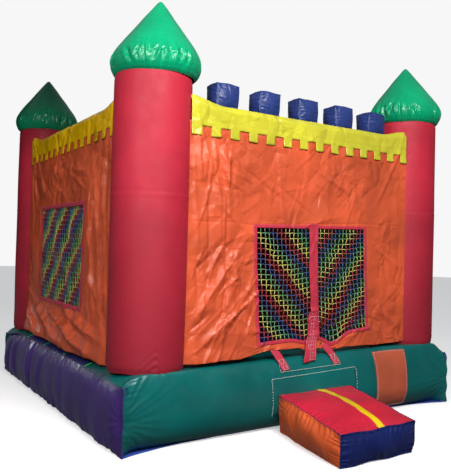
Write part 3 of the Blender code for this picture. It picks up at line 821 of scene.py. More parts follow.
def side_skin(name, sign, node):
    """Purple side panel, swollen between its four seams."""
    columns, rows = 300, 90
    along, t = grid_shares(columns, rows, -1)
    y = along * (BASE_HALF - 0.008) + 0 * t
    edge = 1 - np.abs(along)
    pinned = np.clip(1 - edge / 0.10, 0, 1) ** 2 + 0 * t
    y = along * (BASE_HALF - 0.008 - corner_inset(FOOT_Z + t * (BASE_TOP - 0.05), sign, along))
    foot = BASE_HALF - 0.005 - 0.005 * pinned + 0.014 * noise(y * 5, 0 * y, 17) * (1 - pinned)
    head = BASE_HALF - 0.035 - 0.012 * pinned
    belly = 0.066 * (1 - pinned) * np.sin(math.pi * np.clip(t, 0, 1)) ** 0.70
    out = foot + (head - foot) * t**0.6 + belly * (1 - 0.2 * t)
    out = out - 0.020 * ramp(t, 0.75, 1.0) * (1 - pinned)
    z = FOOT_Z + t * (BASE_TOP - 0.050 - corner_drop(y))
    z = z + 0.010 * noise(y * 1.2, t, 44) * t * (1 - pinned)
    seed = 21 if sign < 0 else 29
    picker = np.random.default_rng(seed)
    size = (1 - t) * 0.60 + 0 * y
    seam = (picker, 30, 2 * BASE_HALF, y + BASE_HALF)
    relief = seam_folds(*seam, size, (0.08, 0.22), (0.002, 0.006), (0.014, 0.034), 0.12)
    relief = relief + seam_folds(
        *seam, 0.60 - size, (0.06, 0.20), (0.004, 0.010), (0.016, 0.036), 0.2
    )
    valleys = (
        (0.66, 0.030, 0.034), (0.20, 0.05, 0.016), (-0.5, 0.06, 0.010),
        (1.25, 0.05, 0.024), (1.60, 0.04, 0.020),
    )
    for place, width, depth in valleys:
        bend = place + 0.05 * np.sin(3.0 * t + place * 5)
        relief = relief - depth * bell(y - bend, width) * np.sin(math.pi * t) ** 0.6
        relief = relief + 0.6 * depth * bell(y - bend - 0.10, 2 * width) * np.sin(math.pi * t)
    relief = relief + 0.008 * noise(y * 1.8, t * 1.6, seed + 4)
    end = np.exp(-edge * BASE_HALF / 0.10)
    fan = np.abs(np.sin(np.arctan2(t - 0.5, edge * 6 + 0.05) * 11 + seed))
    relief = relief - 0.007 * fan * end * (1 - end) * 3
    out = out + relief * (1 - pinned)
    points = np.stack([sign * out, y, z], -1)
    obj = new_object(name, points, grid_faces(columns, rows), [PURPLE])
    inflated(obj, "castle", "vinyl_purple", node)


def tube_along(path, radius, sides=8):
    """Points and faces of a thin tube along a line of points."""
    path = np.asarray(path, float)
    ahead = np.gradient(path, axis=0)
    ahead /= np.linalg.norm(ahead, axis=1, keepdims=True) + 1e-12
    guide = np.where(np.abs(ahead[:, 2:3]) > 0.9, (1.0, 0, 0), (0, 0, 1.0))
    first = np.cross(ahead, guide)
    first /= np.linalg.norm(first, axis=1, keepdims=True)
    second = np.cross(ahead, first)
    turn = np.linspace(0, TAU, sides, endpoint=False)[None, :, None]
    ring = first[:, None] * np.cos(turn) + second[:, None] * np.sin(turn)
    points = path[:, None] + radius * ring
    count = len(path)
    faces = []
    for i in range(count - 1):
        for j in range(sides):
            k = (j + 1) % sides
            faces.append((i * sides + j, (i + 1) * sides + j, (i + 1) * sides + k, i * sides + k))
    faces.append(tuple(range(sides)))
    faces.append(tuple((count - 1) * sides + j for j in reversed(range(sides))))
    return points.reshape(-1, 3), faces


def corner_pipings():
    """Welted seams where the teal and purple panels meet."""
    parts = []
    for sx in (-1, 1):
        for sy in (-1, 1):
            z = np.linspace(0.012, BASE_TOP - 0.034 - corner_drop(sy * 2), 40)
            wobble = 0.003 * np.sin(z * 40)
            inset = corner_inset(z, sx, sy)
            x = sx * (BASE_HALF - 0.011 - inset) + wobble
            path = np.stack([x, sy * (BASE_HALF - 0.010 - inset), z], -1)
            parts.append((*tube_along(path, 0.006), 0))
        y = np.linspace(-BASE_HALF + 0.015, BASE_HALF - 0.015, 160)
        pinned = np.clip(1 - (1 - np.abs(y) / BASE_HALF) / 0.10, 0, 1) ** 2
        z = BASE_TOP - 0.040 - corner_drop(y) + 0.010 * noise(y * 1.2, 1 + 0 * y, 44) * (1 - pinned)
        path = np.stack([sx * (BASE_HALF - 0.033 - 0.012 * pinned), y, z], -1)
        parts.append((*tube_along(path, 0.006), 0))
    add(merged("base_pipings", parts, [PURPLE]), "castle", "vinyl_purple")


def floor_height(y):
    """Pillows of the floor between its green seams."""
    bay = (y / (2 * FLOOR_Y / 3) + 0.5) % 1.0
    return BASE_TOP - 0.016 + 0.014 * np.sin(math.pi * bay) ** 0.6


def ledge(sign, node):
    """Navy edge of the floor outside a side wall, up to the purple panel."""
    columns, rows = 150, 20
    y = np.linspace(-FLOOR_Y, FLOOR_Y, columns)[:, None]
    t = np.linspace(0, 1, rows)[None, :]
    out = FLOOR_X + t * (BASE_HALF - 0.034 - FLOOR_X) + 0 * y
    z = floor_height(y) - side_drop(out) + 0.003 * noise(y * 7, t * 2, 61)
    points = np.stack([sign * out, y + 0 * t, z], -1)
    name = "floor_edge_" + ("left" if sign < 0 else "right")
    obj = new_object("visual_" + name, points, grid_faces(columns, rows), [FLOOR_NAVY])
    inflated(obj, "castle", "vinyl_navy", node)


def seam_tapes():
    """Bright green tape over the floor seams, on the edges that stay still."""
    parts = []
    for sign in (-1, 1):
        for number in range(4):
            centre = -FLOOR_Y + number * 2 * FLOOR_Y / 3
            t = np.linspace(0, 1, 16)[:, None]
            across = np.linspace(-0.014, 0.014, 5)[None, :]
            out = FLOOR_X + t * (BASE_HALF - 0.036 - FLOOR_X) + 0 * across
            z = BASE_TOP - 0.011 - side_drop(out) - 0.002 * (np.abs(across) > 0.012)
            points = np.stack([sign * out, centre + across + 0 * t, z + 0 * across], -1)
            parts.append((points, grid_faces(16, 5), 0))
    add(merged("floor_seam_tapes", parts, [GREEN_TAPE], 0.002), "castle", "seam_green")


def bouncing_floor():
    """The floor inside: four rims between the still edge and the sinking middle,
    fixed where they lie, and the middle itself."""
    rim = 0.55
    lowered = BASE_TOP - 0.001

    def sheet(name, corners, steps):
        u = np.linspace(0, 1, steps[0])[:, None, None]
        v = np.linspace(0, 1, steps[1])[None, :, None]
        a, b, c, d = (np.array(corner, float) for corner in corners)
        flat = (a * (1 - u) + b * u) * (1 - v) + (d * (1 - u) + c * u) * v
        x, y = flat[..., 0], flat[..., 1]
        z = np.minimum(floor_height(y), lowered)
        points = np.stack([x, y, z], -1)
        faces = grid_faces(steps[0], steps[1])
        bay = np.abs(((y + FLOOR_Y) / (2 * FLOOR_Y / 3) + 0.5) % 1.0 - 0.5) * (2 * FLOOR_Y / 3)
        face_bay = bay.reshape(-1)[np.array(faces)].mean(axis=1)
        taped = (face_bay < 0.014).astype(int)
        return new_object(name, points, faces, [FLOOR_NAVY, GREEN_TAPE], taped)

    x0, y0 = FLOOR_X, FLOOR_Y - 0.001
    x1, y1 = x0 - rim, y0 - rim
    outer = [(-x0, -y0), (x0, -y0), (x0, y0), (-x0, y0)]
    inner = [(-x1, -y1), (x1, -y1), (x1, y1), (-x1, y1)]
    sides = ("front", "right", "back", "left")
    for k, side in enumerate(sides):
        corners = (outer[k], outer[(k + 1) % 4], inner[(k + 1) % 4], inner[k])
        steps = (60, 40) if side in ("front", "back") else (150, 20)
        obj = sheet("floor_rim_" + side, corners, steps)
        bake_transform(obj)
    middle = sheet("visual_bounce_floor", inner, (40, 110))
    add(middle, "bounce_floor", "vinyl_navy", "bounce_floor")


def ground_sheet():
    """Thin blue tarp, its wavy edge just past the base's tucked foot."""
    steps, rings = 320, 3
    k = np.linspace(0, 4, steps, endpoint=False)
    turn, along = np.floor(k).astype(int), (k % 1) * 2 - 1
    corner, middle = BASE_HALF - 0.012, BASE_HALF - BASE_TUCK + 0.036
    out = middle + (corner - middle) * np.abs(along) ** 5
    out = out + 0.010 * noise(k * 9, 0 * k, 7) * (1 - np.abs(along) ** 8)
    x, y = along * corner, -out
    cos, sin = np.cos(turn * math.pi / 2), np.sin(turn * math.pi / 2)
    edge = np.stack([x * cos - y * sin, x * sin + y * cos], -1)
    shares = np.array([1.0, 0.985, 0.95])
    flat = edge[:, None, :] * shares[None, :, None]
    ripple = np.abs(noise(k * 14, 0 * k, 9))[:, None]
    rise = 0.004 + 0.003 * ripple * np.array([1.0, 0.5, 0.0])
    points = np.concatenate([flat, rise[..., None]], -1)
    faces = grid_faces(steps, rings, True)
    centre = len(points.reshape(-1, 3))
    points = np.concatenate([points.reshape(-1, 3), [[0, 0, 0.004]]])
    for i in range(steps):
        faces.append((i * rings + 2, ((i + 1) % steps) * rings + 2, centre))
    obj = thicken(new_object("visual_ground_sheet", points, faces, [TARP]), 0.0015)
    add(obj, "castle", "tarp_blue", "ground_sheet")


def base():
    """The base, from the ground sheet up to the floor."""
    end_skin("visual_base_front", -1, "base_front")
    end_skin("visual_base_back", 1, "base_back")
    side_skin("visual_base_side_left", -1, "base_side_left")
    side_skin("visual_base_side_right", 1, "base_side_right")
    corner_pipings()
    ledge(-1, "floor_edge_left")
    ledge(1, "floor_edge_right")
    seam_tapes()
    bouncing_floor()
    ground_sheet()


# ---- walls --------------------------------------------------------------
REAR = {"left": -1, "right": 1}                           # which way along u the rear column lies
# Random creases: how many, u range, z range, (mean, spread) of their angles in
# degrees, and ranges of length, depth and width. Angle 0 runs along the wall.
ACROSS, UP = (-WALL_HALF, WALL_HALF), (0.65, BAND_TOP)
SLANTS = ((-38, 16), (34, 16), (80, 12))
END_CREASES = (
    (170, (-1.35, 0.8), UP, SLANTS, (0.12, 0.55), (0.003, 0.009), (0.016, 0.036)),
    (34, ACROSS, UP, SLANTS, (0.3, 1.0), (0.004, 0.010), (0.028, 0.060)),
    (18, (-1.34, -0.95), (1.4, 2.7), ((91, 5),), (0.4, 1.2), (0.008, 0.018), (0.024, 0.045)),
    (26, (-1.34, -0.70), (0.7, 1.7), ((62, 14),), (0.2, 0.9), (0.010, 0.024), (0.026, 0.055)),
    (
        30, (-0.7, 1.3), (0.62, 0.95), ((70, 30), (8, 12)),
        (0.08, 0.4), (0.006, 0.016), (0.020, 0.045),
    ),
)
SIDE_CREASES = (
    (60, ACROSS, UP, SLANTS, (0.15, 0.50), (0.003, 0.009), (0.020, 0.040)),
    (34, (0.82, 1.33), (0.9, 2.7), ((88, 4),), (0.6, 1.8), (0.012, 0.026), (0.022, 0.042)),
    (
        40, (-0.5, 0.7), (2.22, 2.66), ((-12, 22), (40, 15)),
        (0.12, 0.42), (0.007, 0.017), (0.022, 0.042),
    ),
    (
        34, (-1.2, 1.3), (0.62, 1.05), ((-24, 10), (70, 12)),
        (0.2, 0.8), (0.009, 0.024), (0.024, 0.055),
    ),
)
BAND_CREASES = (
    (
        30, ACROSS, (TOOTH_LOW, BAND_TOP), ((-30, 14), (20, 14)),
        (0.1, 0.5), (0.002, 0.006), (0.018, 0.036),
    ),
    (
        12, (-1.35, -1.05), (TOOTH_GAP, BAND_TOP), ((-55, 10),),
        (0.2, 0.4), (0.008, 0.016), (0.018, 0.036),
    ),
)


class Side:
    """One wall's own directions: u along it, out from the middle, z up.
    u runs left to right for someone who looks at the wall from outside."""

    def __init__(self, name, seed, hole):
        self.name, self.seed, self.hole = name, seed, hole
        picker = np.random.default_rng(seed)
        rows = END_CREASES if name in ("front", "back") else SIDE_CREASES
        self.marks = [mark for row in rows for mark in strokes(picker, *row)]
        self.band_marks = [mark for row in BAND_CREASES for mark in strokes(picker, *row)]

    def world(self, u, out, z):
        """The same places in the scene's own x, y and z."""
        places = {"front": (u, -out), "back": (-u, out), "left": (-out, -u), "right": (out, u)}
        return np.stack([*places[self.name], z], -1)

    def from_hole(self, u, z):
        """Distance from the opening's edge, below 0 inside it."""
        (h0, z0), (h1, z1) = self.hole
        return np.maximum(np.maximum(h0 - u, u - h1), np.maximum(z0 - z, z - z1))

    def offset(self, u, z):
        """How far the hung sheet stands out of the wall plane."""
        u, z = u + 0 * z, z + 0 * u
        reach = WALL_HALF - np.abs(u)
        pinned = ramp(reach, 0.0, 0.10)
        hang = ramp(TOOTH_LOW + 0.15 - z, 0.0, 0.35)
        loose = ramp(1.35 - z, 0.0, 0.7)
        calm = 0.45 + 0.55 * ramp(self.from_hole(u, z), 0.0, 0.22)
        s = self.seed
        billow = 0.016 * noise(u * 0.9 + s, z * 0.8, s) + 0.008 * noise(u * 2.1, z * 1.7 + s, s + 1)
        slack = creases(u * 1.6 + s, z * 1.5, s + 2, 2) * (0.004 + 0.020 * loose)
        total = (billow + slack * calm + crumple(u, z, self.marks)) * hang
        total = total - 0.004 * bell(z - self.seam(u), 0.006)
        for fold in self.folds():
            total = total + ridge(u, z, *fold) * calm
        hem = ramp(0.97 - z, 0, 0.36) * pinned * self.flare(u)
        return 0.004 + total * pinned + (0.035 if self.name in ("front", "back") else 0.085) * hem

    def seam(self, u):
        """Height of the lap seam that runs across the wall."""
        return 1.94 + 0.025 * u if self.name in ("front", "back") else 2.08 + 0.03 * u

    def hem(self, u):
        """Height of the wall's free lower edge."""
        if self.name == "front":
            places = (-1.35, -0.8, -0.46, -0.12, 0.0, 0.12, 0.30, 0.45, 0.9, 1.35)
            heights = (0.672, 0.690, 0.742, 0.738, 0.690, 0.722, 0.690, 0.722, 0.705, 0.716)
            return np.interp(u, places, heights) + 0.008 * noise(u * 3.1, 0 * u, self.seed + 9)
        if self.name == "back":
            return 0.672 + 0.020 * noise(u * 1.1 + self.seed, 0 * u, self.seed + 9)
        return 0.612 + 0.020 * noise(u * 1.4, 0 * u, self.seed + 9)

    def warp(self, u, z):
        """Moves places on the front wall so that the doorway takes its real,
        slightly skewed outline. The other walls stay square."""
        if self.name in ("left", "right"):
            tail = ramp(1.0 - z, 0, 0.35) * np.exp(-np.abs(u * REAR[self.name] - WALL_HALF) / 0.15)
            return u + 0.075 * tail * REAR[self.name], z
        if self.name == "back":
            return u, z
        (h0, z0), (h1, z1) = self.hole
        across = np.clip((u - h0) / (h1 - h0), 0, 1)
        up = np.clip((z - z0) / (z1 - z0), 0, 1)
        du = (0.056 * (1 - across) + 0.043 * across) * (1 - up)
        dz = (-0.010 * (1 - across) + 0.079 * across) * (1 - up)
        dz = dz + (-0.020 * (1 - across) + 0.014 * across) * up
        for place, width, sag in ((0.65, 0.10, 0.105), (0.40, 0.08, 0.045)):
            dz = dz - sag * bell(across - place, width) * (1 - up) ** 3
        near = (1 - ramp(self.from_hole(u, z), 0.0, 0.28)) * ramp(z, 0.66, z0)
        return u + du * near, z + dz * near

    def flare(self, u):
        """How much the free hem stands out."""
        return 0.6 + 0.5 * noise(u * 1.6, 0 * u + self.seed, self.seed + 6)

    def folds(self):
        """The large folds: start, end, width and height of each."""
        left, right, top = -WALL_HALF, WALL_HALF, BAND_TOP
        lower = (
            ((left + 0.02, 1.00), (-0.75, 1.75), 0.07, 0.030),
            ((left + 0.05, 0.75), (-0.68, 1.25), 0.06, 0.028),
            ((left + 0.45, 1.55), (-0.66, 1.00), 0.05, 0.022),
            ((right - 0.02, 0.85), (0.80, 1.15), 0.06, 0.022),
            ((right - 0.05, 1.50), (0.85, 1.75), 0.05, 0.016),
        )
        upper = (
            ((left + 0.03, top - 0.05), (left + 0.34, 2.05), 0.035, 0.018),
            ((left + 0.06, top - 0.05), (left + 0.75, 2.15), 0.035, 0.016),
            ((left + 0.05, top - 0.12), (left + 0.12, 2.2), 0.03, 0.014),
            ((right - 0.04, top - 0.08), (right - 0.45, 2.15), 0.04, 0.014),
            ((left + 0.5, 2.45), (left + 1.1, 2.1), 0.04, -0.014),
            ((0.0, 2.5), (0.7, 2.2), 0.04, 0.012),
            ((-0.5, 2.35), (0.1, 1.98), 0.03, -0.012),
        )
        if self.name in ("left", "right"):
            lower = (
                ((-1.15, 0.99), (0.55, 0.60), 0.11, 0.060),
                ((-0.7, 1.01), (1.15, 0.64), 0.09, 0.065),
                ((0.05, 1.00), (1.30, 0.80), 0.07, 0.050),
                ((-1.35, 0.9), (-0.6, 0.60), 0.10, 0.045),
                ((-1.3, 1.15), (-0.95, 0.95), 0.05, 0.020),
                ((0.74, 2.35), (0.98, 0.95), 0.045, 0.034),
                ((0.93, 2.6), (1.12, 1.0), 0.035, 0.030),
                ((1.10, 2.65), (1.26, 0.95), 0.035, 0.034),
                ((0.82, 1.5), (1.30, 0.75), 0.05, 0.030),
            )
        return lower + upper


def make_sides():
    """The four walls, each with its opening as the CAD nets give it."""
    sides = {}
    for name, seed in (("front", 11), ("left", 23), ("right", 37), ("back", 51)):
        low, high = DOOR if name == "front" else span("window_net_" + name)
        axis = 1 if name in ("left", "right") else 0
        u0, u1 = low[axis], high[axis]
        if name in ("left", "back"):
            u0, u1 = -u1, -u0
        hole = ((float(u0), float(low[2])), (float(u1), float(high[2])))
        sides[name] = Side(name, seed, hole)
    return sides


def lines(*stops, step=0.016):
    """Grid lines that run through every stop, about one step apart."""
    out = [stops[0]]
    for start, end in zip(stops, stops[1:]):
        count = max(1, round((end - start) / step))
        out += [start + (end - start) * k / count for k in range(1, count + 1)]
    return np.array(out)


def wall(side):
    """Orange wall sheet with its opening, hung from the top tube."""
    (h0, z0), (h1, z1) = side.hole
    trim = 0.03
    step = {"front": 0.010, "left": 0.0125}.get(side.name, 0.02)
    edge = WALL_HALF + 0.018
    us = lines(-edge, h0 + trim, h1 - trim, edge, step=step)
    zs = lines(WALL_BOTTOM, z0 + trim, z1 - trim, TOOTH_GAP + 0.04, step=step)
    u, z = np.meshgrid(us, zs, indexing="ij")
    out = WALL_PLANE + side.offset(u, z)
    u2, z2 = side.warp(u, z)
    shifted_to = z0 if side.name == "front" else WALL_BOTTOM + 0.30
    low = 1 - np.clip((z - WALL_BOTTOM) / (shifted_to - WALL_BOTTOM), 0, 1)
    drop = z2 + (side.hem(u) - WALL_BOTTOM) * low
    mid_u, mid_z = (us[:-1] + us[1:]) / 2, (zs[:-1] + zs[1:]) / 2
    in_u = (mid_u > h0 + trim) & (mid_u < h1 - trim)
    in_z = (mid_z > z0 + trim) & (mid_z < z1 - trim)
    keep = ~(in_u[:, None] & in_z[None, :])
    faces = grid_faces(len(us), len(zs), keep=keep)
    resting = BASE_TOP + 0.008 + end_rise(u, -1) * (side.name == "front")
    points, faces = drop_loose(side.world(u2, out, np.maximum(drop, resting)), faces)
    obj = thicken(new_object("visual_wall_" + side.name, points, faces, [ORANGE]), CLOTH_THICK)
    add(obj, "castle", "vinyl_orange", "wall_" + side.name)


def band_top(u):
    """The band's top edge: it dips between the columns."""
    return BAND_TOP - 0.03 + 0.065 * ramp(np.abs(u) / WALL_HALF, 0.72, 1.02)


def band(side):
    """Yellow band with square teeth that curl and crease a little."""
    count = 14
    pitch = 2 * WALL_HALF / (count - 0.5)
    stops = []
    for number in range(count):
        stops += [-WALL_HALF + number * pitch, -WALL_HALF + (number + 0.5) * pitch]
    us = lines(*stops, step=0.014)
    zs = lines(TOOTH_LOW, TOOTH_GAP, BAND_TOP, step=0.014)
    u, z = np.meshgrid(us, zs, indexing="ij")
    top = np.clip((z - TOOTH_GAP) / (BAND_TOP - TOOTH_GAP), 0, 1)
    lifted = z + top * (band_top(u) - BAND_TOP)
    tooth = np.clip((TOOTH_GAP - z) / (TOOTH_GAP - TOOTH_LOW), 0, 1)
    number = np.floor((u + WALL_HALF) / pitch)
    curl = 0.010 * tooth * (0.5 + noise(number * 1.7 + side.seed, 0 * u, 5))
    s = side.seed + 70
    relief = crumple(u, z, side.band_marks) + 0.006 * noise(u * 2, z * 3, s + 1)
    near_end = WALL_HALF - np.abs(u)
    rays = np.maximum(0, np.sin(near_end * 40 - (BAND_TOP - z) * 14)) ** 3
    relief = relief + 0.012 * rays * np.exp(-near_end / 0.12)
    round_top = -0.030 * ramp(top, 0.75, 1.0)
    cover = ramp(z, TOOTH_LOW, TOOTH_GAP + 0.10)
    under = side.offset(u, z)
    loose = under * (1 - 0.5 * cover) + 0.008 + relief * (0.4 + top)
    out = WALL_PLANE + np.maximum(loose, under + 0.004) + curl + round_top
    stitch = bell(z - TOOTH_GAP - 0.055, 0.004)
    out = out - 0.0025 * stitch
    mid_u, mid_z = (us[:-1] + us[1:]) / 2, (zs[:-1] + zs[1:]) / 2
    is_tooth = ((mid_u + WALL_HALF) / pitch) % 1.0 < 0.5
    keep = is_tooth[:, None] | (mid_z > TOOTH_GAP)[None, :]
    points, faces = drop_loose(side.world(u, out, lifted), grid_faces(len(us), len(zs), keep=keep))
    cloth = YELLOW if side.name == "front" else GOLD
    obj = thicken(new_object("visual_band_" + side.name, points, faces, [cloth]), CLOTH_THICK)
    add(obj, "castle", "vinyl_yellow", "band_" + side.name)


def strip(side, route, width, lift):
    """A flat tape laid on the wall along a line of (u, z) points."""
    route = np.array(route, float)
    lengths = np.concatenate([[0], np.cumsum(np.hypot(*np.diff(route, axis=0).T))])
    steps, columns = 110, 6
    t = np.linspace(0, lengths[-1], steps)
    centre = np.stack([np.interp(t, lengths, route[:, k]) for k in (0, 1)], -1)
    ahead = np.gradient(centre, axis=0)
    ahead /= np.linalg.norm(ahead, axis=1, keepdims=True)
    normal = np.stack([-ahead[:, 1], ahead[:, 0]], -1)
    across = np.linspace(-0.5, 0.5, columns)
    flat = centre[:, None] + normal[:, None] * across[None, :, None] * width
    u, z = flat[..., 0], flat[..., 1]
    crown = lift - 0.0015 * (np.abs(across) > 0.45)[None, :]
    out = WALL_PLANE + side.offset(u, z) + crown
    u, z = side.warp(u, z)
    return side.world(u, out, z), grid_faces(steps, columns)


def binding(side, hole, width=0.042, lift=0.005):
    """Red binding round an opening, as four tapes that overlap at corners."""
    (h0, z0), (h1, z1) = hole
    w = width / 2
    routes = (
        ((h0, z1 - w), (h1, z1 - w)), ((h0, z0 + w), (h1, z0 + w)),
        ((h0 + w, z0), (h0 + w, z1)), ((h1 - w, z0), (h1 - w, z1)),
    )
    parts = []
    for number, route in enumerate(routes):
        over = 0.0012 * (number > 1)
        parts.append((*strip(side, route, width, lift + over), 0))
    return parts


def window(side):
    """A net window with its binding."""
    trim = merged("visual_window_trim_" + side.name, binding(side, side.hole), [RED_WEB], WEB_THICK)
    add(trim, "castle", "webbing_red", "window_trim_" + side.name)
    (h0, z0), (h1, z1) = side.hole
    low, high = (h0 + NET_INSET, z0 + NET_INSET), (h1 - NET_INSET, z1 - NET_INSET)
    net = merged("visual_window_net_" + side.name, netting(side, low, high, 1, 0.0), CORDS)
    add(net, "castle", "net_cord", "window_net_" + side.name)


def warped(side, u, out, z):
    """As Side.warp, with out passed through for Side.world."""
    u, z = side.warp(u, z)
    return u, out, z


NET_INSET = 0.03                                          # the net starts behind its binding


def netting(side, low, high, slant, slack):
    """Square-mesh netting in diagonal stripes of four colours, two meshes
    wide. Each mesh side is a short cord between two knots. slant is 1 or -1,
    and slack how far the net sags. Returns parts, one for each cord."""
    pitch, thick = 0.049, 0.0043
    (u0, z0), (u1, z1) = low, high
    nu, nz = round((u1 - u0) / pitch), round((z1 - z0) / pitch)
    i, j = np.meshgrid(np.arange(nu + 1), np.arange(nz + 1), indexing="ij")
    u, z = u0 + (u1 - u0) * i / nu, z0 + (z1 - z0) * j / nz
    inside = ramp(np.minimum(np.minimum(i, nu - i), np.minimum(j, nz - j)) / 4.0, 0, 1)
    s = side.seed + (3 if slant > 0 else 7)
    loose = 1.0 if slack else 0.3
    zigzag = np.where((i + j) % 2 == 0, 0.5, -0.5) * pitch * 0.22 * loose
    drift_u = 0.010 * noise(i * 0.21, j * 0.17, s) + 0.005 * noise(i * 1.3, j * 1.1, s + 1)
    drift_z = 0.010 * noise(i * 0.13, j * 0.25, s + 2) + 0.005 * noise(i * 1.2, j * 1.4, s + 3)
    u = u + inside * (zigzag + loose * drift_u)
    z = z + inside * loose * drift_z
    z = z - slack * inside * np.sin(math.pi * i / nu)
    out = WALL_PLANE + side.offset(u, z) * (0.35 + 0.65 * (1 - inside)) - 0.004
    out = out + inside * 0.030 * noise(i * 0.2, j * 0.2, s + 4)
    knots = side.world(*warped(side, u, out, z))
    parts = []
    for a in range(nu + 1):
        for b in range(nz + 1):
            colour = slant * math.floor((a - slant * b) / 2) % 4
            if a < nu:
                parts.append((*link(knots[a, b], knots[a + 1, b], thick), colour))
            if b < nz:
                parts.append((*link(knots[a, b], knots[a, b + 1], thick), colour))
    for a in range(1, nu):
        for b in range(1, nz):
            colour = slant * math.floor((a - slant * b) / 2) % 4
            parts.append((*knot(knots[a, b], thick * 1.55), colour))
    return parts


def link(start, end, radius):
    """A short five-sided cord between two knots."""
    ahead = end - start
    ahead = ahead / (np.linalg.norm(ahead) + 1e-9)
    guide = np.array((0.0, 0, 1)) if abs(ahead[2]) < 0.8 else np.array((1.0, 0, 0))
    first = np.cross(ahead, guide)
    first /= np.linalg.norm(first)
    second = np.cross(ahead, first)
    turn = np.arange(5) * TAU / 5
    ring = radius * (np.cos(turn)[:, None] * first + np.sin(turn)[:, None] * second)
    points = np.concatenate([start + ring, end + ring])
    faces = [(k, (k + 1) % 5, 5 + (k + 1) % 5, 5 + k) for k in range(5)]
    faces += [(4, 3, 2, 1, 0), (5, 6, 7, 8, 9)]
    return points, faces


def knot(place, radius):
    """An eight-sided lump where two cords cross."""
    reach = np.array([(1, 0, 0), (-1, 0, 0), (0, 1, 0), (0, -1, 0), (0, 0, 1), (0, 0, -1)], float)
    faces = [(0, 2, 4), (2, 1, 4), (1, 3, 4), (3, 0, 4), (2, 0, 5), (1, 2, 5), (3, 1, 5), (0, 3, 5)]
    return place + reach * radius, faces


# ---- entrance -----------------------------------------------------------
def follow_flap(side, piece, hinge, node):
    """Bakes a piece of the door where it hangs, and hides the CAD node it
    replaces. The line of its hinge, the edge at u = hinge, is worked out but not used."""
    (_, z0), (_, z1) = side.hole
    start, end = (
        tuple(side.world(np.array(hinge), np.array(WALL_PLANE), np.array(z)))
        for z in (z1, z0 + 0.25)
    )
    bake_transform(piece)
    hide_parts(node)


def door(side):
    """Two net flaps with their bindings, the zip between them and its cover."""
    (h0, z0), (h1, z1) = side.hole
    centre = (h0 + h1) / 2
    half_zip = 0.012
    flaps = (("left", h0, centre - half_zip, -1, h0), ("right", centre + half_zip, h1, 1, h1))
    for name, u0, u1, slant, hinge in flaps:
        edges = binding(side, ((u0, z0), (u1, z1)), 0.034, 0.004)
        trim = merged("visual_door_trim_" + name, edges, [RED_WEB], WEB_THICK)
        low, high = (u0 + NET_INSET, z0 + NET_INSET), (u1 - NET_INSET, z1 - NET_INSET)
        net = merged("visual_door_net_" + name, netting(side, low, high, slant, 0.02), CORDS)
        follow_flap(side, trim, hinge, "door_trim_" + name)
        follow_flap(side, net, hinge, "door_net_" + name)
    door_zip(side, centre)
    zip_cover(side, centre)


def door_zip(side, centre):
    """Coil zip on the left flap's edge, which wanders to the right lower down."""
    (h0, z0), (_, z1) = side.hole
    z = np.linspace(z0 - 0.10, z1, 90)
    wander = 0.075 * ramp(1.15 - z, 0, 0.25) - 0.03 * ramp(0.9 - z, 0, 0.2)
    u = centre + 0.012 + 0.004 * np.sin(z * 9) + wander
    path = side.world(*warped(side, u, WALL_PLANE + side.offset(u, z) + 0.002, z))
    tape = merged("visual_door_zip", [(*tube_along(path, 0.005, 6), 0)], [BLACK_TAPE])
    follow_flap(side, tape, h0, "door_zip")


def zip_cover(side, centre):
    """Red strap over the zip: flat above, folded over and stitched below."""
    top, foot = side.hole[1][1] + 0.015, 0.615

    def shape(t):
        """Middle, height and width of the strap, t of its length down."""
        z = top + t * (foot - top)
        lean = 0.012 * ramp(t, 0.3, 0.6) - 0.095 * ramp(t, 0.76, 1.0)
        width = 0.104 - 0.022 * ramp(t, 0.3, 0.58) + 0.056 * ramp(t, 0.62, 0.70)
        return centre - 0.004 + lean, z, width + 0.02 * ramp(t, 0.85, 1.0)

    rows, columns = 120, 14
    t = np.linspace(0, 1, rows)[:, None]
    across = np.linspace(-0.5, 0.5, columns)[None, :]
    middle, z, width = shape(t)
    u = middle + across * width
    z = z + 0 * across + 0.02 * across * ramp(t, 0.8, 1.0)
    out = WALL_PLANE + side.offset(u, np.maximum(z, 0.7)) + 0.016
    out = out + 0.006 * noise(t * 7, across * 2, 5) + 0.018 * bell(t - 0.64, 0.015)
    out = out + 0.012 * bell(t - 0.82, 0.02) + 0.05 * ramp(t, 0.80, 1.0)
    faces = grid_faces(rows, columns)
    cloth = new_object("visual_zip_cover", side.world(u, out, z), faces, [RED_WEB])
    add(thicken(cloth, 0.004), "zip_cover", "webbing_red", "zip_cover")
    threads = []
    edges = np.linspace(-0.42, 0.42, 12), np.linspace(-0.42, 0.42, 5)
    for row in np.linspace(0.66, 0.99, 14):
        threads.append((np.full(12, row), edges[0]))
    for column in edges[1]:
        threads.append((np.linspace(0.68, 1.0, 24), np.full(24, column)))
    parts = []
    for down, share in threads:
        middle, z, width = shape(down)
        lifted = np.interp(down, t[:, 0], out[:, columns // 2]) + 0.003
        path = side.world(middle + share * width, lifted, z)
        parts.append((*tube_along(path, 0.0012, 4), 0))
    stitching = merged("zip_cover_stitching", parts, [RED_THREAD])
    add(stitching, "zip_cover", "thread_white")


def on_base(x, share, lift):
    """Points on the front of the base, share up its rounded side."""
    pinned = np.clip((np.abs(x) / BASE_HALF - 0.88) / 0.12, 0, 1) ** 2.4
    out, z = roll_profile(share + 0 * x, pinned, x)
    out2, z2 = roll_profile(share + 0.01 + 0 * x, pinned, x)
    nz, no = out - out2, z2 - z
    size = np.hypot(nz, no) + 1e-9
    return np.stack([x + 0 * share, -(out + lift * no / size), z + lift * nz / size], -1)


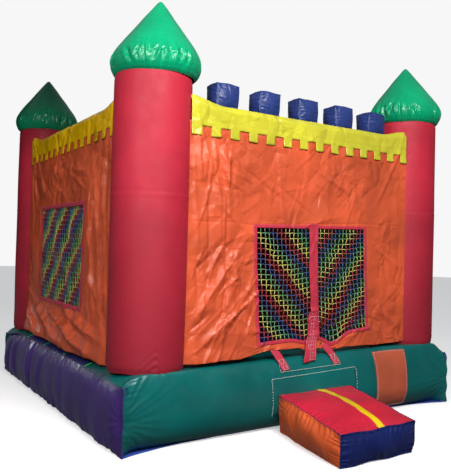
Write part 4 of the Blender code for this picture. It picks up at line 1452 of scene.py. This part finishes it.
def stitch_line(route, lift, dash=0.014, gap=0.007):
    """Thread dashes along a route of (x, share) points on the base."""
    route = np.array(route, float)
    parts = []
    for (x0, s0), (x1, s1) in zip(route, route[1:]):
        length = math.hypot(x1 - x0, (s1 - s0) * 0.95)
        count = max(1, int(length / (dash + gap)))
        for k in range(count):
            a, b = k / count, (k + dash / (dash + gap)) / count
            t = np.linspace(a, b, 3)
            points = on_base(x0 + (x1 - x0) * t, s0 + (s1 - s0) * t, lift)
            parts.append((*tube_along(points, 0.0034, 4), 0))
    return parts


def base_patch(name, x_span, shares, material, slant=0.0, pucker=0.0, seed=0):
    """A sheet laid on the front of the base, puckered along its top edge.
    slant is how far its foot leans to the right."""
    (x0, x1), (s0, s1), lift = x_span, shares, 0.005
    columns, rows = 60, 40
    u, v = grid_shares(columns, rows)
    x = x0 + (x1 - x0) * u + slant * (1 - v)
    share = s0 + (s1 - s0) * v + 0 * u
    rise = lift + pucker * np.abs(noise(x * 26, share * 3, seed)) * np.exp(-(1 - v) / 0.3)
    points = on_base(x, share, rise * np.sin(math.pi * np.clip(u, 0.02, 0.98)) ** 0.15)
    return thicken(new_object(name, points, grid_faces(columns, rows), [material]), 0.0025)


def entrance():
    """What is sewn to the base below the doorway, and the two straps."""
    patch = base_patch(
        "visual_step_patch", (-0.50, 0.545), (0.36, 0.705), TEAL, pucker=0.012, seed=4
    )
    add(patch, "castle", "vinyl_teal", "step_patch")
    outline = [(-0.50, 0.36), (-0.508, 0.695), (0.53, 0.712), (0.552, 0.695), (0.552, 0.50)]
    threads = stitch_line(outline, 0.010)
    outline = [(-0.395, 0.84), (-0.392, 0.752), (0.35, 0.757), (0.345, 0.84)]
    threads += stitch_line(outline, 0.009)
    add(merged("base_stitching", threads, [THREAD]), "castle", "thread_white")
    panel = base_patch(
        "visual_care_panel", (0.825, 1.285), (0.20, 0.865), PANEL, slant=0.035, seed=9
    )
    add(panel, "castle", "label_orange", "care_panel")
    outline = [(0.875, 0.215), (0.840, 0.850), (1.270, 0.850), (1.305, 0.215), (0.875, 0.215)]
    threads = stitch_line(outline, 0.0075, 0.010, 0.008)
    stitching = merged("care_panel_stitching", threads, [RED_THREAD])
    add(stitching, "castle", "thread_white")
    for name, top_x, foot_x in (("left", -0.43, -0.325), ("right", 0.20, 0.315)):
        entrance_strap(name, top_x, foot_x)


def entrance_strap(name, top_x, foot_x):
    """Webbing from the doorway's hem to the base, cross-stitched below."""
    width, steps, columns = 0.085, 40, 7
    top = np.array((top_x, -(WALL_PLANE + 0.020), 0.755))
    brink = on_base(np.array(foot_x - 0.05), np.array(0.90), 0.010) + np.array((0, -0.012, 0.03))
    foot = on_base(np.array(foot_x), np.array(0.765), 0.010)
    t = np.linspace(0, 1, steps)[:, None]
    path = (1 - t) ** 2 * top + 2 * t * (1 - t) * brink + t**2 * foot
    across = np.linspace(-0.5, 0.5, columns)
    points = path[:, None, :] + across[None, :, None] * np.array((width, 0, 0.012))
    faces = grid_faces(steps, columns)
    strap = new_object("visual_entrance_strap_" + name, points, faces, [RED_WEB])
    add(thicken(strap, WEB_THICK), "castle", "webbing_red", "entrance_strap_" + name)
    lifted = points + np.array((0, -0.003, 0.002))

    def on_strap(row, column):
        """A place on the strap between its grid's points."""
        i, j = min(int(row), steps - 2), min(int(column), columns - 2)
        fr, fc = row - i, column - j
        near = lifted[i, j] * (1 - fr) + lifted[i + 1, j] * fr
        far = lifted[i, j + 1] * (1 - fr) + lifted[i + 1, j + 1] * fr
        return near * (1 - fc) + far * fc

    first, last = int(steps * 0.55), steps - 2
    a, b, c, d = (first, 1), (first, 5), (last, 5), (last, 1)
    parts = []
    for (r0, c0), (r1, c1) in ((a, b), (b, c), (c, d), (d, a), (a, c), (b, d)):
        shares = np.linspace(0, 1, 10)
        route = [on_strap(r0 + (r1 - r0) * k, c0 + (c1 - c0) * k) for k in shares]
        parts.append((*tube_along(route, 0.0014, 4), 0))
    stitching = merged("strap_stitching_" + name, parts, [THREAD])
    add(stitching, "castle", "thread_white")


# ---- puffed boxes: step and battlements ---------------------------------
def puffed_box(corners, bulge, steps, pucker, seed):
    """Six swollen panels between straight seams. corners are the eight
    corners: the lower four, then the upper four, anticlockwise from above.
    Returns a list of (points, faces) for bottom, top and the four sides."""
    c = np.array(corners, float)
    quads = [(3, 2, 1, 0), (4, 5, 6, 7), (0, 1, 5, 4), (1, 2, 6, 5), (2, 3, 7, 6), (3, 0, 4, 7)]
    panels = []
    for number, quad in enumerate(quads):
        a, b, cc, d = (c[k] for k in quad)
        nu, nv = steps
        u, v = grid_shares(nu, nv)
        weights = ((1 - u) * (1 - v), u * (1 - v), u * v, (1 - u) * v)
        flat = sum(w[..., None] * p for w, p in zip(weights, (a, b, cc, d)))
        normal = np.cross(b - a, d - a)
        normal /= np.linalg.norm(normal)
        dome = (np.sin(math.pi * u) * np.sin(math.pi * v)) ** 0.55
        size_u, size_v = np.linalg.norm(b - a), np.linalg.norm(d - a)
        from_u = np.minimum(u, 1 - u) * size_u
        from_v = np.minimum(v, 1 - v) * size_v
        ripple_v = np.abs(np.sin(v * size_v * 55 + 2.5 * noise(v * 4, u * 2, seed + number)))
        ripple_u = np.abs(np.sin(u * size_u * 48 + 2.5 * noise(u * 4, v * 2, seed + number + 9)))
        dent = ripple_v * np.exp(-from_u / 0.05) * ramp(from_u, 0, 0.02)
        dent = dent + ripple_u * np.exp(-from_v / 0.05) * ramp(from_v, 0, 0.02)
        amount = bulge[number]
        height = amount * dome - pucker * dent * dome**0.3
        panels.append((flat + height[..., None] * normal, grid_faces(nu, nv)))
    return panels


def battlements():
    """Five inflated blocks on the front tube."""
    inset = 0.004
    for number in range(1, 6):
        (x0, y0, z0), (x1, y1, z1) = span(f"crenel_{number}")
        z0 -= 0.02
        twist = 0.006 * math.sin(number * 2.3)
        lower = [
            (x0 + inset, y0 + inset, z0), (x1 - inset, y0 + inset, z0),
            (x1 - inset, y1 - inset, z0), (x0 + inset, y1 - inset, z0),
        ]
        upper = [
            (x0, y0 + twist, z1 + 0.012), (x1, y0, z1 + 0.008),
            (x1, y1 - twist, z1 + 0.004), (x0, y1, z1 + 0.008),
        ]
        bulge = (0, 0.024, 0.032, 0.030, 0.032, 0.030)
        panels = puffed_box(lower + upper, bulge, (50, 50), 0.010, number * 5)
        points, faces, index = join_parts([(p, f, 0) for p, f in panels])
        points = soften(points, 0.008, 6.0, number)
        obj = new_object(f"visual_crenel_{number}", points, faces, [NAVY], index)
        inflated(obj, "castle", "vinyl_navy", f"crenel_{number}")


def soften(points, amount, scale, seed):
    """Moves points by a smooth drift, the same for pieces that share edges."""
    points = np.asarray(points, float)
    x, y, z = points[..., 0] * scale, points[..., 1] * scale, points[..., 2] * scale
    drift = [noise(x + 0.7 * z + k, y - 0.6 * z + 3 * k, seed + k) for k in range(3)]
    return points + amount * np.stack(drift, -1) * np.array((1, 1, 0.8))


def step():
    """The inflated step: red top with a yellow stripe, orange sides and a
    navy front, slanted as in the photo, with piping along its seams."""
    bx0, bx1, by, bz = -0.44, 0.46, -1.992, 0.345
    fx0, fx1, fy, fz = -0.61, 0.24, -2.985, 0.272
    inset, foot, grid, top, drift = 0.020, 0.004, 110, 1, (0.011, 5.5, 77)
    lower = [
        (fx0 + inset, fy + inset, foot), (fx1 - inset, fy + inset, foot),
        (bx1 - inset, by, foot), (bx0 + inset, by, foot),
    ]
    upper = [(fx0, fy, fz), (fx1, fy, fz), (bx1, by, bz), (bx0, by, bz)]
    bulge = (0.0, 0.050, 0.040, 0.050, 0.0, 0.055)
    panels = puffed_box(lower + upper, bulge, (grid, grid), 0.026, 3)
    red, yellow, orange, navy = range(4)
    paints = [navy, red, navy, orange, navy, orange]
    u = np.linspace(0, 1, grid)[:, None]
    centre = 0.525 + 0.004 * np.sin(np.linspace(0, 1, grid)[None, :] * 3.0)
    on_stripe = (np.abs(u - centre) < 0.042).reshape(-1)
    points, faces = panels[top]
    points[..., 2] += 0.0035 * (np.abs(u - centre) < 0.047)
    paints[top] = [yellow if on_stripe[face[0]] else red for face in faces]
    parts = [(p, f, paint) for (p, f), paint in zip(panels, paints)]
    points, faces, index = join_parts(parts)
    points = soften(points, *drift)
    points[:, 2] = np.maximum(points[:, 2], 0.002)
    cloths = [STEP_RED, STRIPE_YELLOW, STEP_ORANGE, STEP_NAVY]
    obj = new_object("visual_step", points, faces, cloths, index)
    inflated(obj, "step", "vinyl_red", "step", "step_stripe")
    edges = [
        (upper[0], upper[1]), (upper[1], upper[2]), (upper[3], upper[0]),
        (lower[0], upper[0]), (lower[1], upper[1]),
    ]
    t = np.linspace(0, 1, 60)[:, None]
    parts = []
    for a, b in edges:
        path = soften(np.array(a) * (1 - t) + np.array(b) * t, *drift)
        parts.append((*tube_along(path, 0.0035, 6), 0))
    add(merged("step_pipings", parts, [STEP_NAVY]), "step", "vinyl_red")


# ---- top tubes, roof and rear services ----------------------------------
def top_tube(side):
    """Inflated navy tube between two columns."""
    low, high = span("top_tube_" + side.name)
    radius = float(high[2] - low[2]) / 2
    middle_z = float(high[2] + low[2]) / 2
    out0 = WALL_PLANE - 0.135
    lateral = abs(out0 - HALF)
    reach = HALF - math.sqrt(COLUMN_R**2 - lateral**2) + 0.03
    steps, rows = 220, 48
    u = np.linspace(-reach, reach, steps)[:, None]
    turn = np.linspace(0, TAU, rows, endpoint=False)[None, :]
    ring = np.abs(np.sin(turn * 10 + 3 * noise(turn * 1.0, u * 1.2, side.seed)))
    near_end = np.exp(-(reach - np.abs(u)) / 0.10)
    size = radius - 0.006 * ring * near_end + 0.003 * noise(u * 3, turn, side.seed + 1)
    size = size - 0.012 * near_end
    out, z = out0 + size * np.cos(turn), middle_z + size * np.sin(turn)
    points = side.world(u + 0 * turn, out, z)
    faces = []
    for i in range(steps - 1):
        for j in range(rows):
            k = (j + 1) % rows
            faces.append((i * rows + j, i * rows + k, (i + 1) * rows + k, (i + 1) * rows + j))
    obj = new_object("visual_top_tube_" + side.name, points, faces, [NAVY])
    inflated(obj, "castle", "vinyl_navy", "top_tube_" + side.name)


def roof():
    """Sun cover, slack between the tubes, laced to them through grommets."""
    low, high = span("roof_cover")
    reach = float(high[0])
    clip = HALF - COLUMN_R - 0.01
    stops = (-reach, -clip, clip, reach)
    xs = lines(*stops, step=0.03)
    x, y = np.meshgrid(xs, xs, indexing="ij")
    edge = np.minimum(reach - np.abs(x), reach - np.abs(y))
    share_x, share_y = (x + reach) / (2 * reach), (y + reach) / (2 * reach)
    sag = -0.13 * np.sin(math.pi * share_x) * np.sin(math.pi * share_y)
    relief = creases(x * 1.7, y * 1.7, 81) * 0.02 + 0.012 * noise(x * 0.9, y * 0.9, 83)
    z = float(low[2]) + sag + relief * ramp(edge, 0, 0.25)
    mid = (xs[:-1] + xs[1:]) / 2
    corner = (np.abs(mid) > clip)[:, None] & (np.abs(mid) > clip)[None, :]
    points, faces = drop_loose(np.stack([x, y, z], -1), grid_faces(len(xs), len(xs), keep=~corner))
    obj = thicken(new_object("visual_roof_cover", points, faces, [ORANGE]), CLOTH_THICK)
    add(obj, "castle", "vinyl_orange", "roof_cover")


def rear():
    """Air inlet sleeve, and the zipped deflation port with its flap."""
    low, high = span("air_inlet")
    cx, cz = float(low[0] + high[0]) / 2, float(low[2] + high[2]) / 2
    radius = float(high[0] - low[0]) / 2 - 0.003
    steps, rows = 72, 30
    turn = np.linspace(0, TAU, steps, endpoint=False)[:, None]
    t = np.linspace(0, 1, rows)[None, :]
    waist = np.sin(math.pi * t)
    size = radius * (1 - 0.08 * waist) + 0.004 * np.abs(np.sin(turn * 13)) * waist
    length = float(high[1]) - BASE_HALF + 0.06
    y = BASE_HALF - 0.06 + t * length
    points = np.stack([cx + size * np.cos(turn), y + 0 * turn, cz + size * np.sin(turn)], -1)
    obj = new_object("visual_air_inlet", points, grid_faces(steps, rows, True), [TEAL])
    add(thicken(obj, 0.003), "castle", "vinyl_teal", "air_inlet")
    turn = np.linspace(0, TAU, 73)
    tight = radius - 0.006
    y = 0 * turn + BASE_HALF + 0.045
    belt = np.stack([cx + tight * np.cos(turn), y, cz + tight * np.sin(turn)], -1)
    across = np.array([[0, -0.012, 0], [0, 0.012, 0]])
    points = belt[:, None, :] + across[None]
    strap = thicken(new_object("air_inlet_strap", points, grid_faces(73, 2), [BLACK_TAPE]), 0.003)
    add(strap, "castle", "zip_black")
    low, high = span("vent_flap")
    u = np.linspace(float(low[0]), float(high[0]), 60)[:, None]
    v = np.linspace(0, 1, 30)[None, :]
    z = float(high[2]) + (float(low[2]) - float(high[2])) * v + 0 * u
    out = float(low[1]) + 0.003 + 0.004 * noise(u * 6, v * 3, 12) * v + 0 * u
    points = np.stack([u + 0 * v, out, z], -1)
    flap = thicken(new_object("visual_vent_flap", points, grid_faces(60, 30), [TEAL]), 0.003)
    add(flap, "vent_flap", "vinyl_teal", "vent_flap")
    size = (float(high[0] - low[0]), float(high[2] - low[2]))


def carried_over():
    """CAD nodes that keep their shape and get a finished material."""
    finishes = {
        "vent_zip": BLACK_TAPE, "door_zip_slider": SLIDER, "vent_zip_slider": SLIDER,
        "base_underside": FLOOR_NAVY, "floor_baffle_1": FLOOR_NAVY, "floor_baffle_2": FLOOR_NAVY,
    }
    for name, finish in finishes.items():
        mesh = NODES[name].data
        mesh.materials.clear()
        mesh.materials.append(finish)


def main():
    """Builds everything."""
    look()
    stage()
    cards()
    lights()
    towers()
    base()
    sides = make_sides()
    for side in sides.values():
        wall(side)
        band(side)
        top_tube(side)
        if side.name != "front":
            window(side)
    door(sides["front"])
    entrance()
    battlements()
    step()
    roof()
    rear()
    carried_over()


main()
